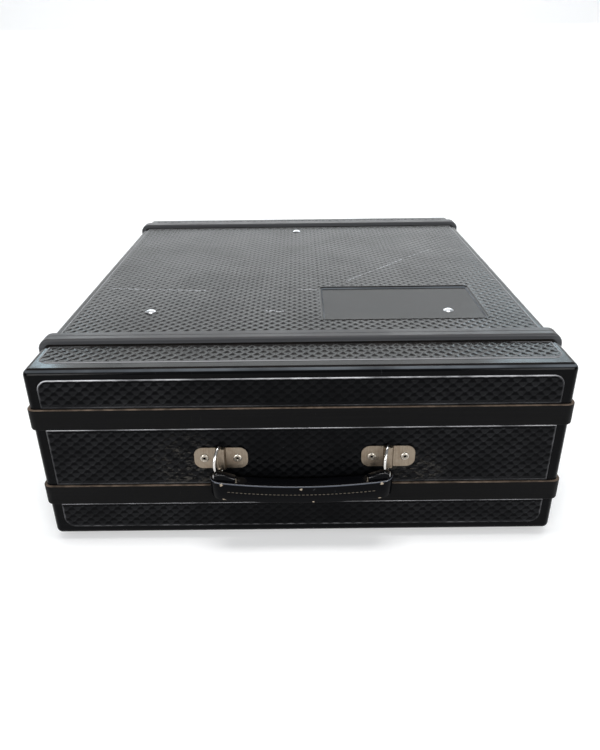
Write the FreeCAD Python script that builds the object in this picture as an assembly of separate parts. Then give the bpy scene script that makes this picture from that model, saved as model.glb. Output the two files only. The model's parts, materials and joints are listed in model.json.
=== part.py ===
import FreeCAD, Part
import math
import os
from FreeCAD import Vector

# Rack case: a moulded plastic sleeve with rack rails inside, a lift-off lid at each end,
# and a carrying handle on the front lid. Millimetres. X runs to the right seen from the
# front, Y runs to the rear and Z up. Z = 0 is the floor under the valances.

# Case
case_width = 559.0
case_height = 206.4
front_lid_depth = 75.5
body_length = 521.5
rear_lid_depth = 54.5
wall = 4.0
edge_radius = 7.0

# Valances, the double rims where the lids meet the body
valance_proud = 6.0
valance_width = 10.4
valance_web = 3.0
valance_inner_leg = 2.5
valance_inner_length = 12.0
valance_round = 2.5
valance_seam_round = 0.6
seam_gap = 0.4
shell_fit = 0.05
tongue_thickness = 2.0
tongue_offset = 2.1
tongue_length = 2.4
groove_clearance = 0.5
groove_depth = 4.5
gasket_thickness = 1.5

# Rub strips
strip_width = 23.4
strip_proud = 3.0
strip_middle_offset = 47.3
strip_end_gap = 0.2
strip_land_gap = 0.7

# Raised panels that carry the moulded pattern
panel_proud = 1.0
panel_root = 0.5
panel_radius = 12.0
panel_side_border = 9.5
panel_front_border = 13.2
panel_top_border = 17.0
panel_end_border = 10.6
panel_valance_border = 7.0

# Sunken plate on the top
recess_width = 195.0
recess_length = 116.0
recess_left = 27.0
recess_front = 129.5
recess_depth = 1.5
recess_slope = 2.8
recess_radius = 6.0

# Rack rails and the cross braces under the top
rail_opening = 452.0
rail_thickness = 2.0
rail_flange_depth = 30.0
rail_tab_height = 34.0
rail_front_setback = 74.5
rail_rear_setback = 23.5
rail_floor_gap = 0.1
rack_hole_spacing = 465.1
rack_hole_radius = 3.4
rack_unit_height = 44.45
rack_units = 4
rack_hole_offset = 6.35
brace_width = 25.0
brace_thickness = 3.0
front_brace_setback = 10.5
rear_brace_setback = 24.5
top_rivet_left = -181.6
top_rivet_right = 180.8
top_rivet_rear = -4.7
top_rivet_radius = 6.2
top_rivet_height = 2.2
spacer_radius = 7.0

# Rivets and bolts
rivet_shank_radius = 2.4
rivet_fit = 0.05
rivet_tail_height = 1.2
rivet_tail_radius = 3.6
side_rivet_radius = 3.4
side_rivet_height = 1.5
plate_rivet_radius = 4.15
plate_rivet_height = 1.5
mandrel_hole_radius = 1.1
mandrel_hole_depth = 0.9
rail_bolt_radius = 5.5
rail_bolt_height = 2.6
rail_bolt_inset = 17.0
rail_nut_radius = 5.0
rail_nut_height = 4.0

# Carrying handle on the front lid
handle_centre_x = 3.5
handle_height = 102.4
ring_spacing = 177.6
ring_radius = 16.0
ring_bend = 3.0
ring_wire = 1.6
ring_lean = 20.0
ring_back_clearance = 0.3
plate_length = 57.0
plate_height = 25.4
plate_thickness = 1.2
plate_corner = 9.3
plate_rivet_spacing = 35.2
hump_width = 11.5
hump_crown = 7.5
hump_channel_width = 4.2
hump_channel_depth = 3.9
hump_thickness = 1.3
grip_length = 194.0
grip_shift = -3.6
grip_height = 25.0
grip_thickness = 14.0
grip_arch = 8.6
grip_rear_gap = 7.0
grip_drop = 14.7
grip_tilt = 10.0
grip_plan_round = 5.5
grip_edge_round = 1.8
ear_height = 7.0
ear_width = 13.0
ear_taper = 15.0
ear_thickness = 8.0
core_thickness = 3.0
core_margin = 3.5
core_end_margin = 2.0
slot_width = 8.2
slot_outer_clearance = 0.4
slot_inner_clearance = 1.35
slot_shift = 3.4

# Draw latches on the left and right sides
latch_pivot_setback = 16.5
latch_pivot_height = 8.5
latch_link_offset = 9.0
latch_link_reach = 40.0
latch_wire = 1.5
latch_ear_half = 10.0
latch_ear_thickness = 2.0
latch_ear_round = 4.0
latch_fit = 0.3
lever_thickness = 2.0
lever_length = 42.0
lever_lip = 1.6
lever_tip_depth = 1.5
lever_crown = 4.3
lever_flange_drop = 3.5
latch_pin_radius = 1.75
latch_pin_fit = 0.05
bail_bend = 3.5
bail_side_gap = 1.0
base_half_width = 18.0
base_thickness = 1.5
base_front = 5.0
base_length = 53.0
latch_rivet_places = [17.0, 42.0]
latch_rivet_half = 14.5
keeper_half_width = 9.0
keeper_base_front = 9.0
keeper_thickness = 2.0
keeper_rise = 3.0
keeper_fit = 0.3
keeper_rivet_setback = 5.5

# Working values
along_axis = 0.999
near_zero = 0.01
cut_margin = 1.0
arc_sag = 1 - math.sqrt(0.5)

half_width = case_width / 2
floor_z = valance_proud
top_z = floor_z + case_height
middle_z = floor_z + case_height / 2
front_seam = front_lid_depth
rear_seam = front_lid_depth + body_length
rear_face = rear_seam + rear_lid_depth
panel_face = half_width + panel_proud
hinge_y = -(panel_proud + ring_back_clearance + ring_wire)
hinge_z = floor_z + handle_height


def block(x0, x1, y0, y1, z0, z1):
    """A plain box between two corners."""
    return Part.makeBox(x1 - x0, y1 - y0, z1 - z0, Vector(x0, y0, z0))


def parallel_edges(shape, axis):
    """The straight edges of a shape that run along an axis."""
    found = []
    for edge in shape.Edges:
        if abs(edge.tangentAt(edge.FirstParameter).dot(axis)) > along_axis:
            found.append(edge)
    return found


def rounded_block(x0, x1, y0, y1, z0, z1, axis, radius):
    """A box whose four edges along an axis are rounded."""
    plain = block(x0, x1, y0, y1, z0, z1)
    return plain.makeFillet(radius, parallel_edges(plain, axis))


def mirror_x(shape):
    """The same piece on the other side of the case."""
    return shape.mirror(Vector(0, 0, 0), Vector(1, 0, 0))


def mirror_height(shape):
    """The same form on the underside, mirrored in the case's mid height."""
    return shape.mirror(Vector(0, 0, middle_z), Vector(0, 0, 1))


def join(shapes):
    """One solid out of several that overlap or share a face."""
    whole = shapes[0]
    for shape in shapes[1:]:
        whole = whole.fuse(shape)
    return whole.removeSplitter()


def sleeve(outset, y0, y1):
    """A bar of the case's cross section, grown by an outset, from y0 to y1."""
    return rounded_block(
        -half_width - outset, half_width + outset, y0, y1,
        floor_z - outset, top_z + outset, Vector(0, 1, 0), edge_radius + outset)


def rim(inner, outer, y0, y1):
    """A closed frame that follows the case's section between two outsets."""
    low, high = min(y0, y1), max(y0, y1)
    return sleeve(outer, low, high).cut(sleeve(inner, low, high))


def lid_block(outset, open_end):
    """The outside of the front lid grown by an outset, its front edges rounded too."""
    whole = sleeve(outset, -outset, open_end)
    front = []
    for edge in whole.Edges:
        if edge.BoundBox.YMax < -outset + near_zero:
            front.append(edge)
    return whole.makeFillet(edge_radius + outset - near_zero, front)


def rounded_outline(u0, u1, v0, v1, radii):
    """A face in the XY plane; radii round its corners anticlockwise from (u0, v0)."""
    corners = [Vector(u0, v0, 0), Vector(u1, v0, 0), Vector(u1, v1, 0), Vector(u0, v1, 0)]
    starts = []
    ends = []
    edges = []
    for i, corner in enumerate(corners):
        back = (corners[i - 1] - corner).normalize() * radii[i]
        ahead = (corners[(i + 1) % 4] - corner).normalize() * radii[i]
        starts.append(corner + back)
        ends.append(corner + ahead)
        if radii[i] > 0:
            middle = corner + (back + ahead) * arc_sag
            edges.append(Part.Arc(corner + back, middle, corner + ahead).toShape())
    for i in range(4):
        edges.append(Part.LineSegment(ends[i], starts[(i + 1) % 4]).toShape())
    return Part.Face(Part.Wire(Part.__sortEdges__(edges)))


def top_panel(x0, x1, y0, y1, radii):
    """A raised panel on the case's top."""
    face = rounded_outline(x0, x1, y0, y1, radii)
    face.translate(Vector(0, 0, top_z - panel_root))
    return face.extrude(Vector(0, 0, panel_root + panel_proud))


def side_panel(y0, y1, z0, z1, radii):
    """A raised panel on the case's right side."""
    face = rounded_outline(y0, y1, z0, z1, radii)
    face.Placement = FreeCAD.Placement(
        Vector(half_width - panel_root, 0, 0), FreeCAD.Rotation(Vector(1, 1, 1), 120))
    return face.extrude(Vector(panel_root + panel_proud, 0, 0))


def front_panel(x0, x1, z0, z1, radii):
    """A raised panel on the lid's front face."""
    face = rounded_outline(x0, x1, z0, z1, radii)
    face.Placement = FreeCAD.Placement(
        Vector(0, panel_root, 0), FreeCAD.Rotation(Vector(1, 0, 0), 90))
    return face.extrude(Vector(0, -(panel_root + panel_proud), 0))


def point_out(shape, point, outward):
    """Moves a fastener made along +Z so that its head's seat is at a point, facing outward."""
    shape.Placement = FreeCAD.Placement(point, FreeCAD.Rotation(Vector(0, 0, 1), outward))
    return shape


def dome(radius, height):
    """A low domed head that stands on Z = 0."""
    sphere_radius = (radius ** 2 + height ** 2) / (2 * height)
    ball = Part.makeSphere(sphere_radius, Vector(0, 0, height - sphere_radius))
    return ball.common(Part.makeCylinder(radius, height))


def rivet(head_radius, head_height, grip):
    """A domed rivet through a stack of a given thickness, with its tail upset behind."""
    shank = Part.makeCylinder(rivet_shank_radius, grip, Vector(0, 0, -grip))
    tail = Part.makeCylinder(rivet_tail_radius, rivet_tail_height, Vector(0, 0, -grip - rivet_tail_height))
    return join([dome(head_radius, head_height), shank, tail])


def blind_rivet(grip):
    """A blind rivet with the open mandrel hole in the middle of its head."""
    whole = rivet(plate_rivet_radius, plate_rivet_height, grip)
    return whole.cut(Part.makeCylinder(
        mandrel_hole_radius, mandrel_hole_depth, Vector(0, 0, plate_rivet_height - mandrel_hole_depth)))


def rail_bolt(grip):
    """A truss head bolt with its nut inside the case."""
    end = -grip - rail_nut_height
    shank = Part.makeCylinder(rivet_shank_radius, -end, Vector(0, 0, end))
    nut_points = []
    for i in range(7):
        angle = math.radians(60 * i)
        nut_points.append(Vector(rail_nut_radius * math.cos(angle), rail_nut_radius * math.sin(angle), -grip))
    nut = Part.Face(Part.makePolygon(nut_points)).extrude(Vector(0, 0, -rail_nut_height))
    return join([dome(rail_bolt_radius, rail_bolt_height), shank, nut])


def hole(point, outward, reach):
    """The clearance hole for a fastener, both ways from its seat."""
    tool = Part.makeCylinder(rivet_shank_radius + rivet_fit, 2 * reach, Vector(0, 0, -reach))
    return point_out(tool, point, outward)


def drilled(shape, places, reach):
    """A shape with the holes for fasteners at (point, outward) places."""
    for point, outward in places:
        shape = shape.cut(hole(point, outward, reach))
    return shape


exported = {}


def add(name, shape):
    """Keeps one node's shape for the export."""
    exported[name] = shape


# Strip and panel rows on the sides and the front, as heights
strip_rows = []
for side_of_middle in (-1, 1):
    row_middle = middle_z + side_of_middle * strip_middle_offset
    strip_rows.append((row_middle - strip_width / 2, row_middle + strip_width / 2))
panel_rows = [
    (floor_z + panel_end_border, strip_rows[0][0] - strip_land_gap),
    (strip_rows[0][1] + strip_land_gap, strip_rows[1][0] - strip_land_gap),
    (strip_rows[1][1] + strip_land_gap, top_z - panel_end_border)]
round_radius = min(panel_radius, (panel_rows[0][1] - panel_rows[0][0]) / 2 - panel_root)
row_corner_radii = [(1, 1, 0, 0), (0, 0, 0, 0), (0, 0, 1, 1)]


def row_radii(row, rounded_sides):
    """Which corners of a panel row are rounded: those at the case's own corners."""
    radii = []
    for corner, side in zip(row_corner_radii[row], rounded_sides):
        radii.append(round_radius * corner * side)
    return radii


# Fastener places, each a seat on an outer face and the way its head looks
right = Vector(1, 0, 0)
left = Vector(-1, 0, 0)
up = Vector(0, 0, 1)
ahead = Vector(0, -1, 0)
rail_front_face = front_seam + rail_front_setback
rail_rear_face = rear_seam - rail_rear_setback
rail_bolt_heights = [floor_z + rail_bolt_inset + panel_end_border, top_z - rail_bolt_inset - panel_end_border]
rail_bolt_depths = [rail_front_face + rail_flange_depth / 2, rail_rear_face - rail_flange_depth / 2]
rail_bolt_places = []
for bolt_y in rail_bolt_depths:
    for bolt_z in rail_bolt_heights:
        rail_bolt_places.append((Vector(panel_face, bolt_y, bolt_z), right))
        rail_bolt_places.append((Vector(-panel_face, bolt_y, bolt_z), left))
recess_floor = top_z - recess_depth
front_brace_y = rail_front_face + front_brace_setback
rear_brace_y = rail_rear_face - rear_brace_setback
top_rivet_places = [
    (Vector(top_rivet_left, front_brace_y, top_z + panel_proud), up),
    (Vector(top_rivet_right, front_brace_y, recess_floor), up),
    (Vector(top_rivet_rear, rear_brace_y, top_z + panel_proud), up)]
latch_ends = [(front_seam, 1, "front"), (rear_seam, -1, "rear")]
latch_sides = [(1, "right"), (-1, "left")]
base_rivet_places = []
keeper_rivet_places = []
for latch_seam, inward, end_name in latch_ends:
    for side, side_name in latch_sides:
        outward = Vector(side, 0, 0)
        pivot_y = latch_seam + inward * latch_pivot_setback
        for reach in latch_rivet_places:
            for half in (-latch_rivet_half, latch_rivet_half):
                seat = Vector(side * (panel_face + base_thickness), pivot_y + inward * reach, middle_z + half)
                base_rivet_places.append((seat, outward))
        keeper_y = pivot_y - inward * (latch_link_reach + keeper_rivet_setback)
        seat = Vector(side * (panel_face + keeper_thickness), keeper_y, middle_z)
        keeper_rivet_places.append((seat, outward))
plate_rivet_places = []
plate_centres = [handle_centre_x - ring_spacing / 2, handle_centre_x + ring_spacing / 2]
for plate_x in plate_centres:
    for side in (-1, 1):
        rivet_x = plate_x + side * plate_rivet_spacing / 2
        plate_rivet_places.append((Vector(rivet_x, -panel_proud - plate_thickness, hinge_z), ahead))
drill_reach = wall + valance_proud


def recess_pocket(x0, x1, y0, y1):
    """The hollow of the sunken plate, its walls leaning outwards over the recess's slope."""
    open_z = top_z + panel_proud + cut_margin
    steepness = recess_slope / (recess_depth + panel_proud)
    wires = []
    for height in (recess_floor, open_z):
        inset = recess_slope - (height - recess_floor) * steepness
        radius = recess_radius - inset
        face = rounded_outline(x0 + inset, x1 - inset, y0 + inset, y1 - inset, [radius] * 4)
        face.translate(Vector(0, 0, height))
        wires.append(face.OuterWire)
    return Part.makeLoft(wires, True, True)


def body_shell():
    """The sleeve, open at both ends, with its raised panels and the sunken plate on top."""
    y0 = front_seam + valance_web + shell_fit
    y1 = rear_seam - valance_web - shell_fit
    panel_y0 = front_seam + valance_width + panel_valance_border
    panel_y1 = rear_seam - valance_width - panel_valance_border
    top_half = half_width - panel_side_border
    panels = [top_panel(-top_half, top_half, panel_y0, panel_y1, (0, 0, 0, 0))]
    for z0, z1 in panel_rows:
        panels.append(side_panel(panel_y0, panel_y1, z0, z1, (0, 0, 0, 0)))
        panels.append(mirror_x(panels[-1]))
    panels.append(mirror_height(panels[0]))
    recess = (recess_left, recess_left + recess_width, recess_front, recess_front + recess_length)
    pan = rounded_block(
        recess[0] - wall, recess[1] + wall, recess[2] - wall, recess[3] + wall,
        recess_floor - wall, top_z - panel_root, up, recess_radius + wall)
    shell = join([sleeve(0, y0, y1)] + panels)
    shell = shell.cut(sleeve(-wall, y0 - wall, y1 + wall))
    shell = join([shell, pan]).cut(recess_pocket(*recess))
    return drilled(shell, top_rivet_places + rail_bolt_places + base_rivet_places, drill_reach)


def lid_shell(depth, with_handle, keepers):
    """A lid as a tray with its closed face at the front; the rear lid is turned round later."""
    open_end = depth - valance_web - shell_fit
    panel_end = depth - valance_width - panel_valance_border
    top_half = half_width - panel_side_border
    front_half = half_width - panel_front_border
    panels = [top_panel(-top_half, top_half, panel_top_border, panel_end, (round_radius, round_radius, 0, 0))]
    for row, (z0, z1) in enumerate(panel_rows):
        radii = row_radii(row, (1, 0, 0, 1))
        panels.append(side_panel(panel_top_border, panel_end, z0, z1, radii))
        panels.append(mirror_x(panels[-1]))
        panels.append(front_panel(-front_half, front_half, z0, z1, row_radii(row, (1, 1, 1, 1))))
    panels.append(mirror_height(panels[0]))
    shell = join([lid_block(0, open_end)] + panels)
    inside = lid_block(-wall, open_end + wall)
    shell = shell.cut(inside)
    if with_handle:
        shell = drilled(shell, plate_rivet_places, drill_reach)
    return drilled(shell, keepers, drill_reach)


def valance(seam, inward, grooved):
    """Half of a double rim: a frame over the shell's edge, grooved on the body, tongued on the lid."""
    start = seam + inward * seam_gap / 2
    outer = seam + inward * valance_width
    web = seam + inward * valance_web
    inner_end = seam + inward * valance_inner_length
    body = rim(shell_fit, valance_proud, start, outer)
    body = body.makeFillet(valance_round, outermost_edges(body, outer))
    body = body.makeFillet(valance_seam_round, outermost_edges(body, start))
    inner_outset = -wall - valance_inner_leg
    pieces = [body, rim(inner_outset, shell_fit + panel_root, start, web)]
    pieces.append(rim(inner_outset, -wall - shell_fit, start, inner_end))
    whole = join(pieces)
    if grooved:
        groove_inner = tongue_offset - groove_clearance
        groove_outer = tongue_offset + tongue_thickness + groove_clearance
        return whole.cut(rim(groove_inner, groove_outer, seam - inward, seam + inward * groove_depth))
    tongue_end = start - inward * (seam_gap + tongue_length)
    tongue = rim(tongue_offset, tongue_offset + tongue_thickness, start + inward * panel_root, tongue_end)
    return join([whole, tongue])


def outermost_edges(shape, y):
    """The edges of a valance's outer face that lie in the plane at y."""
    reach = valance_proud - near_zero
    found = []
    for edge in shape.Edges:
        box = edge.BoundBox
        in_plane = abs(box.YMax - y) < near_zero and abs(box.YMin - y) < near_zero
        outside = box.XMax > half_width + reach or box.XMin < -half_width - reach
        outside = outside or box.ZMax > top_z + reach or box.ZMin < floor_z - reach
        if in_plane and outside:
            found.append(edge)
    return found


def gasket(seam, inward):
    """The seal at the bottom of a body valance's groove."""
    inner = tongue_offset - groove_clearance + shell_fit
    outer = tongue_offset + tongue_thickness + groove_clearance - shell_fit
    bottom = seam + inward * (groove_depth - shell_fit)
    return rim(inner, outer, bottom - inward * gasket_thickness, bottom)


def lid_strip(row, depth):
    """A rub strip that runs along one side of the lid, across its front and back along the other side."""
    z0, z1 = strip_rows[row]
    end = depth - valance_width - strip_end_gap
    outside = lid_block(strip_proud, depth)
    inside = lid_block(shell_fit, depth)
    reach = half_width + strip_proud + cut_margin
    return outside.cut(inside).common(block(-reach, reach, -strip_proud - cut_margin, end, z0, z1))


def body_strip(row):
    """A rub strip along the body's right side."""
    z0, z1 = strip_rows[row]
    y0 = front_seam + valance_width + strip_end_gap
    y1 = rear_seam - valance_width - strip_end_gap
    return block(half_width + shell_fit, half_width + strip_proud, y0, y1, z0, z1)


def rack_rail(face_y, inward, top):
    """The right rail: a drilled flange that carries the equipment and two tabs on the side wall."""
    bottom = floor_z + wall + rail_floor_gap
    wall_x = half_width - wall - shell_fit
    y0, y1 = sorted((face_y, face_y + inward * rail_thickness))
    flange = block(rail_opening / 2, wall_x, y0, y1, bottom, top)
    pieces = [flange]
    tab_y0, tab_y1 = sorted((face_y, face_y + inward * rail_flange_depth))
    for bolt_z in rail_bolt_heights:
        z0 = max(bottom, bolt_z - rail_tab_height / 2)
        z1 = min(top, bolt_z + rail_tab_height / 2)
        pieces.append(block(wall_x - rail_thickness, wall_x, tab_y0, tab_y1, z0, z1))
    rail = join(pieces)
    for unit in range(rack_units):
        unit_z = middle_z + (unit - rack_units / 2) * rack_unit_height
        unit_holes = (rack_hole_offset, rack_unit_height / 2, rack_unit_height - rack_hole_offset)
        for hole_z in [unit_z + offset for offset in unit_holes]:
            drill = Part.makeCylinder(
                rack_hole_radius, 4 * rail_thickness,
                Vector(rack_hole_spacing / 2, face_y - 2 * rail_thickness, hole_z), Vector(0, 1, 0))
            rail = rail.cut(drill)
    return drilled(rail, rail_bolt_places, half_width - rail_opening / 2)


def brace(middle_y, top):
    """A flat bar across the case, on top of the rails and under the case's top."""
    reach = half_width - wall - edge_radius
    half = brace_width / 2
    bar = block(-reach, reach, middle_y - half, middle_y + half, top - brace_thickness, top)
    return drilled(bar, top_rivet_places, drill_reach + wall + recess_depth)


def handle_plate(plate_x):
    """A riveted plate with an upright hump in which the ring's straight leg sits."""
    half_length = plate_length / 2
    half_height = plate_height / 2
    back = -panel_proud
    plate = rounded_block(
        plate_x - half_length, plate_x + half_length, back - plate_thickness, back,
        hinge_z - half_height, hinge_z + half_height, Vector(0, 1, 0), plate_corner)
    crown = back - hump_channel_depth - hump_thickness
    points = [
        Vector(plate_x - hump_width / 2, back - plate_thickness / 2, 0),
        Vector(plate_x - hump_crown / 2, crown, 0),
        Vector(plate_x + hump_crown / 2, crown, 0),
        Vector(plate_x + hump_width / 2, back - plate_thickness / 2, 0)]
    hump = Part.Face(Part.makePolygon(points + points[:1])).extrude(Vector(0, 0, plate_height))
    hump.translate(Vector(0, 0, hinge_z - half_height))
    crown_edges = []
    for edge in parallel_edges(hump, up):
        if edge.BoundBox.YMax < crown + near_zero:
            crown_edges.append(edge)
    hump = hump.makeFillet(hump_thickness, crown_edges)
    channel = block(
        plate_x - hump_channel_width / 2, plate_x + hump_channel_width / 2,
        back - hump_channel_depth, back + cut_margin, hinge_z - plate_height, hinge_z + plate_height)
    whole = join([plate, hump]).cut(channel)
    return drilled(whole, plate_rivet_places, drill_reach)


def ring_path():
    """The ring's centre line in the YZ plane: a straight leg, two bends and a round bow."""
    bend_centre = math.sqrt((ring_radius - ring_bend) ** 2 - ring_bend ** 2)
    reach = ring_radius / (ring_radius - ring_bend)
    edges = [Part.LineSegment(Vector(0, 0, -bend_centre), Vector(0, 0, bend_centre)).toShape()]
    for side in (1, -1):
        centre = Vector(0, -ring_bend, side * bend_centre)
        on_bow = centre * reach
        turn = (Vector(0, 1, 0) + (on_bow - centre).normalize()).normalize()
        edges.append(Part.Arc(Vector(0, 0, side * bend_centre), centre + turn * ring_bend, on_bow).toShape())
    low = Vector(0, -ring_bend, -bend_centre) * reach
    high = Vector(0, -ring_bend, bend_centre) * reach
    edges.append(Part.Arc(low, Vector(0, -ring_radius, 0), high).toShape())
    return Part.Wire(Part.__sortEdges__(edges))


def handle_ring(plate_x):
    """A wire ring that leans a little on its straight leg."""
    section = Part.Wire(Part.makeCircle(ring_wire, Vector(0, 0, 0), Vector(0, 0, 1)))
    ring = ring_path().makePipeShell([section], True, False)
    ring.rotate(Vector(0, 0, 0), Vector(0, 0, 1), -ring_lean)
    ring.translate(Vector(plate_x, hinge_y, hinge_z))
    return ring


def grip_bar(inset, depth, end_inset):
    """The arched bar of the grip in its upright position, made smaller by an inset."""
    half = grip_length / 2 - end_inset
    top = -grip_drop - inset
    bottom = top - grip_height + 2 * inset
    corners = [Vector(-half, 0, bottom), Vector(half, 0, bottom), Vector(half, 0, top), Vector(-half, 0, top)]
    low = Part.Arc(corners[0], Vector(0, 0, bottom - grip_arch), corners[1]).toShape()
    high = Part.Arc(corners[2], Vector(0, 0, top - grip_arch), corners[3]).toShape()
    right_end = Part.LineSegment(corners[1], corners[2]).toShape()
    left_end = Part.LineSegment(corners[3], corners[0]).toShape()
    face = Part.Face(Part.Wire([low, right_end, high, left_end]))
    face.translate(Vector(0, -(grip_rear_gap + (grip_thickness - depth) / 2) + panel_proud, 0))
    return face.extrude(Vector(0, -depth, 0))


def grip_ears(inset, depth):
    """The two raised ends of the grip that close over the rings, each with a slope inwards."""
    ears = []
    middle_depth = -(grip_rear_gap + grip_thickness / 2) + panel_proud
    top = -grip_drop + ear_height - inset
    root = -grip_drop - grip_edge_round - core_margin - inset
    slope_end = -grip_drop - inset / 2
    for side in (-1, 1):
        centre = side * ring_spacing / 2 - slot_shift - grip_shift
        inner = centre - side * ear_width / 2
        outer = centre + side * ear_width / 2
        limit = grip_length / 2 - core_end_margin / 2
        outer = max(-limit, min(limit, outer)) - side * inset
        inner = inner + side * inset
        far = inner - side * ear_taper
        points = [Vector(outer, 0, root), Vector(outer, 0, top), Vector(inner, 0, top),
                  Vector(far, 0, slope_end), Vector(far, 0, root)]
        face = Part.Face(Part.makePolygon(points + points[:1]))
        face.translate(Vector(0, middle_depth + depth / 2, 0))
        ears.append(face.extrude(Vector(0, -depth, 0)))
    return ears


def seated(shape):
    """Moves a piece of the grip from its own upright frame to the case, tilted at rest."""
    shape.rotate(Vector(0, -grip_rear_gap, -grip_drop), Vector(1, 0, 0), grip_tilt)
    shape.translate(Vector(handle_centre_x + grip_shift, hinge_y, hinge_z))
    return shape


def ring_slots():
    """The curved slots through the grip's ends in which the rings run."""
    slots = []
    for plate_x in plate_centres:
        base = Vector(plate_x - slot_shift - slot_width / 2, hinge_y, hinge_z)
        outer = Part.makeCylinder(ring_radius + ring_wire + slot_outer_clearance, slot_width, base, right)
        inner = Part.makeCylinder(ring_radius - ring_wire - slot_inner_clearance, slot_width, base, right)
        slots.append(outer.cut(inner))
    return slots


def grip_core():
    """The stiffening strip inside the grip, whose raised ends hang on the rings."""
    pieces = [grip_bar(core_margin, core_thickness, core_margin)]
    pieces += grip_ears(core_end_margin, core_thickness)
    core = seated(join(pieces))
    for slot in ring_slots():
        core = core.cut(slot)
    return core


def grip_cover(core):
    """The padded cover round the core, with its plan corners and its long edges rounded."""
    bar = grip_bar(0, grip_thickness, 0)
    bar = bar.makeFillet(grip_plan_round, parallel_edges(bar, up))
    long_edges = []
    for edge in bar.Edges:
        if edge.BoundBox.XMax - edge.BoundBox.XMin > grip_length / 2:
            long_edges.append(edge)
    bar = bar.makeFillet(grip_edge_round, long_edges)
    cover = seated(join([bar] + grip_ears(0, ear_thickness)))
    cover = cover.cut(core)
    for slot in ring_slots():
        cover = cover.cut(slot)
    return cover


# Draw latch in its own frame: X away from the case's side, Y from the pivot into the body, Z up
def latch_base():
    """The plate on the body with the two ears that hold the lever's pin."""
    plate = rounded_block(
        0, base_thickness, -base_front, base_length - base_front,
        -base_half_width, base_half_width, right, latch_ear_round)
    pieces = [plate]
    for side in (-1, 1):
        z0, z1 = sorted((side * latch_ear_half, side * (latch_ear_half - latch_ear_thickness)))
        foot = block(base_thickness / 2, latch_pivot_height, -latch_ear_round, latch_ear_round, z0, z1)
        top = Part.makeCylinder(latch_ear_round, z1 - z0, Vector(latch_pivot_height, 0, z0))
        pieces += [foot, top]
    return join(pieces).cut(latch_pin_bore(latch_pin_radius))


def latch_pin_bore(radius):
    """A bore through the ears and the lever's flanges."""
    return Part.makeCylinder(radius, 4 * base_half_width, Vector(latch_pivot_height, 0, -2 * base_half_width))


def flange_outer():
    """How far the lever's flanges reach from the latch's middle."""
    return latch_ear_half + latch_fit + lever_thickness


def latch_pin():
    """The lever's hinge pin, held by the ears."""
    reach = flange_outer()
    return Part.makeCylinder(latch_pin_radius, 2 * reach, Vector(latch_pivot_height, 0, -reach))


def latch_lever():
    """The folded lever: a plate with two flanges that turn on the pin and hold the bail."""
    reach = flange_outer()
    low = latch_pivot_height - lever_flange_drop
    high = latch_pivot_height + lever_crown + lever_thickness
    front = -latch_ear_round
    points = [
        Vector(low, front, -reach),
        Vector(low, latch_link_offset + latch_ear_round, -reach),
        Vector(high - lever_thickness - lever_tip_depth, lever_length, -reach),
        Vector(high + lever_lip, lever_length, -reach),
        Vector(high + lever_lip, lever_length - lever_thickness, -reach),
        Vector(high, lever_length - 2 * lever_thickness, -reach),
        Vector(high, front + lever_thickness, -reach),
        Vector(high - lever_thickness, front, -reach)]
    outside = Part.Face(Part.makePolygon(points + points[:1])).extrude(Vector(0, 0, 2 * reach))
    inner = reach - lever_thickness
    inside = block(
        low - cut_margin, high - lever_thickness, front - cut_margin,
        lever_length - lever_thickness, -inner, inner)
    lever = outside.cut(inside)
    lever = lever.cut(latch_pin_bore(latch_pin_radius + latch_pin_fit))
    link_bore = latch_pin_bore(latch_wire + latch_pin_fit)
    link_bore.translate(Vector(0, latch_link_offset, 0))
    return lever.cut(link_bore)


def latch_bail():
    """The wire bail: two arms whose ends turn in the lever's flanges, and the bar that pulls the keeper."""
    arm = flange_outer() + bail_side_gap + latch_wire
    tip = latch_ear_half + latch_fit
    near = latch_link_offset
    far = -latch_link_reach
    bend = bail_bend
    edges = []
    for side in (-1, 1):
        inner_end = Vector(0, near, side * tip)
        first = Vector(0, near, side * (arm - bend / 2))
        first_middle = Vector(0, near - bend / 2 * arc_sag, side * (arm - bend / 2 * arc_sag))
        second = Vector(0, near - bend / 2, side * arm)
        third = Vector(0, far + bend, side * arm)
        corner = Vector(0, far + bend * arc_sag, side * (arm - bend * arc_sag))
        fourth = Vector(0, far, side * (arm - bend))
        edges.append(Part.LineSegment(inner_end, first).toShape())
        edges.append(Part.Arc(first, first_middle, second).toShape())
        edges.append(Part.LineSegment(second, third).toShape())
        edges.append(Part.Arc(third, corner, fourth).toShape())
    edges.append(Part.LineSegment(Vector(0, far, -arm + bend), Vector(0, far, arm - bend)).toShape())
    path = Part.Wire(Part.__sortEdges__(edges))
    start = Vector(0, near, -tip)
    section = Part.Wire(Part.makeCircle(latch_wire, start, Vector(0, 0, 1)))
    bail = path.makePipeShell([section], True, True)
    bail.translate(Vector(latch_pivot_height, 0, 0))
    return bail


def latch_keeper():
    """The strike on the lid: a riveted foot and the upright lip that the bail's bar pulls on."""
    bar_y = -latch_link_reach
    lip_y = bar_y + latch_wire + keeper_fit
    foot = rounded_block(
        0, keeper_thickness, bar_y - keeper_base_front, lip_y + keeper_thickness,
        -keeper_half_width, keeper_half_width, right, keeper_thickness)
    height = latch_pivot_height + keeper_rise
    lip = block(0, height, lip_y, lip_y + keeper_thickness, -keeper_half_width, keeper_half_width)
    return join([foot, lip])


def placed_latch(shape, seam, inward, side):
    """Moves a latch piece from its own frame to a corner of the case; the latch is the same upside down."""
    copy = shape.copy()
    if side > 0 and inward < 0:
        copy.rotate(Vector(0, 0, 0), right, 180)
    if side < 0 and inward > 0:
        copy.rotate(Vector(0, 0, 0), Vector(0, 1, 0), 180)
    if side < 0 and inward < 0:
        copy.rotate(Vector(0, 0, 0), up, 180)
    copy.translate(Vector(side * panel_face, seam + inward * latch_pivot_setback, middle_z))
    return copy


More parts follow.
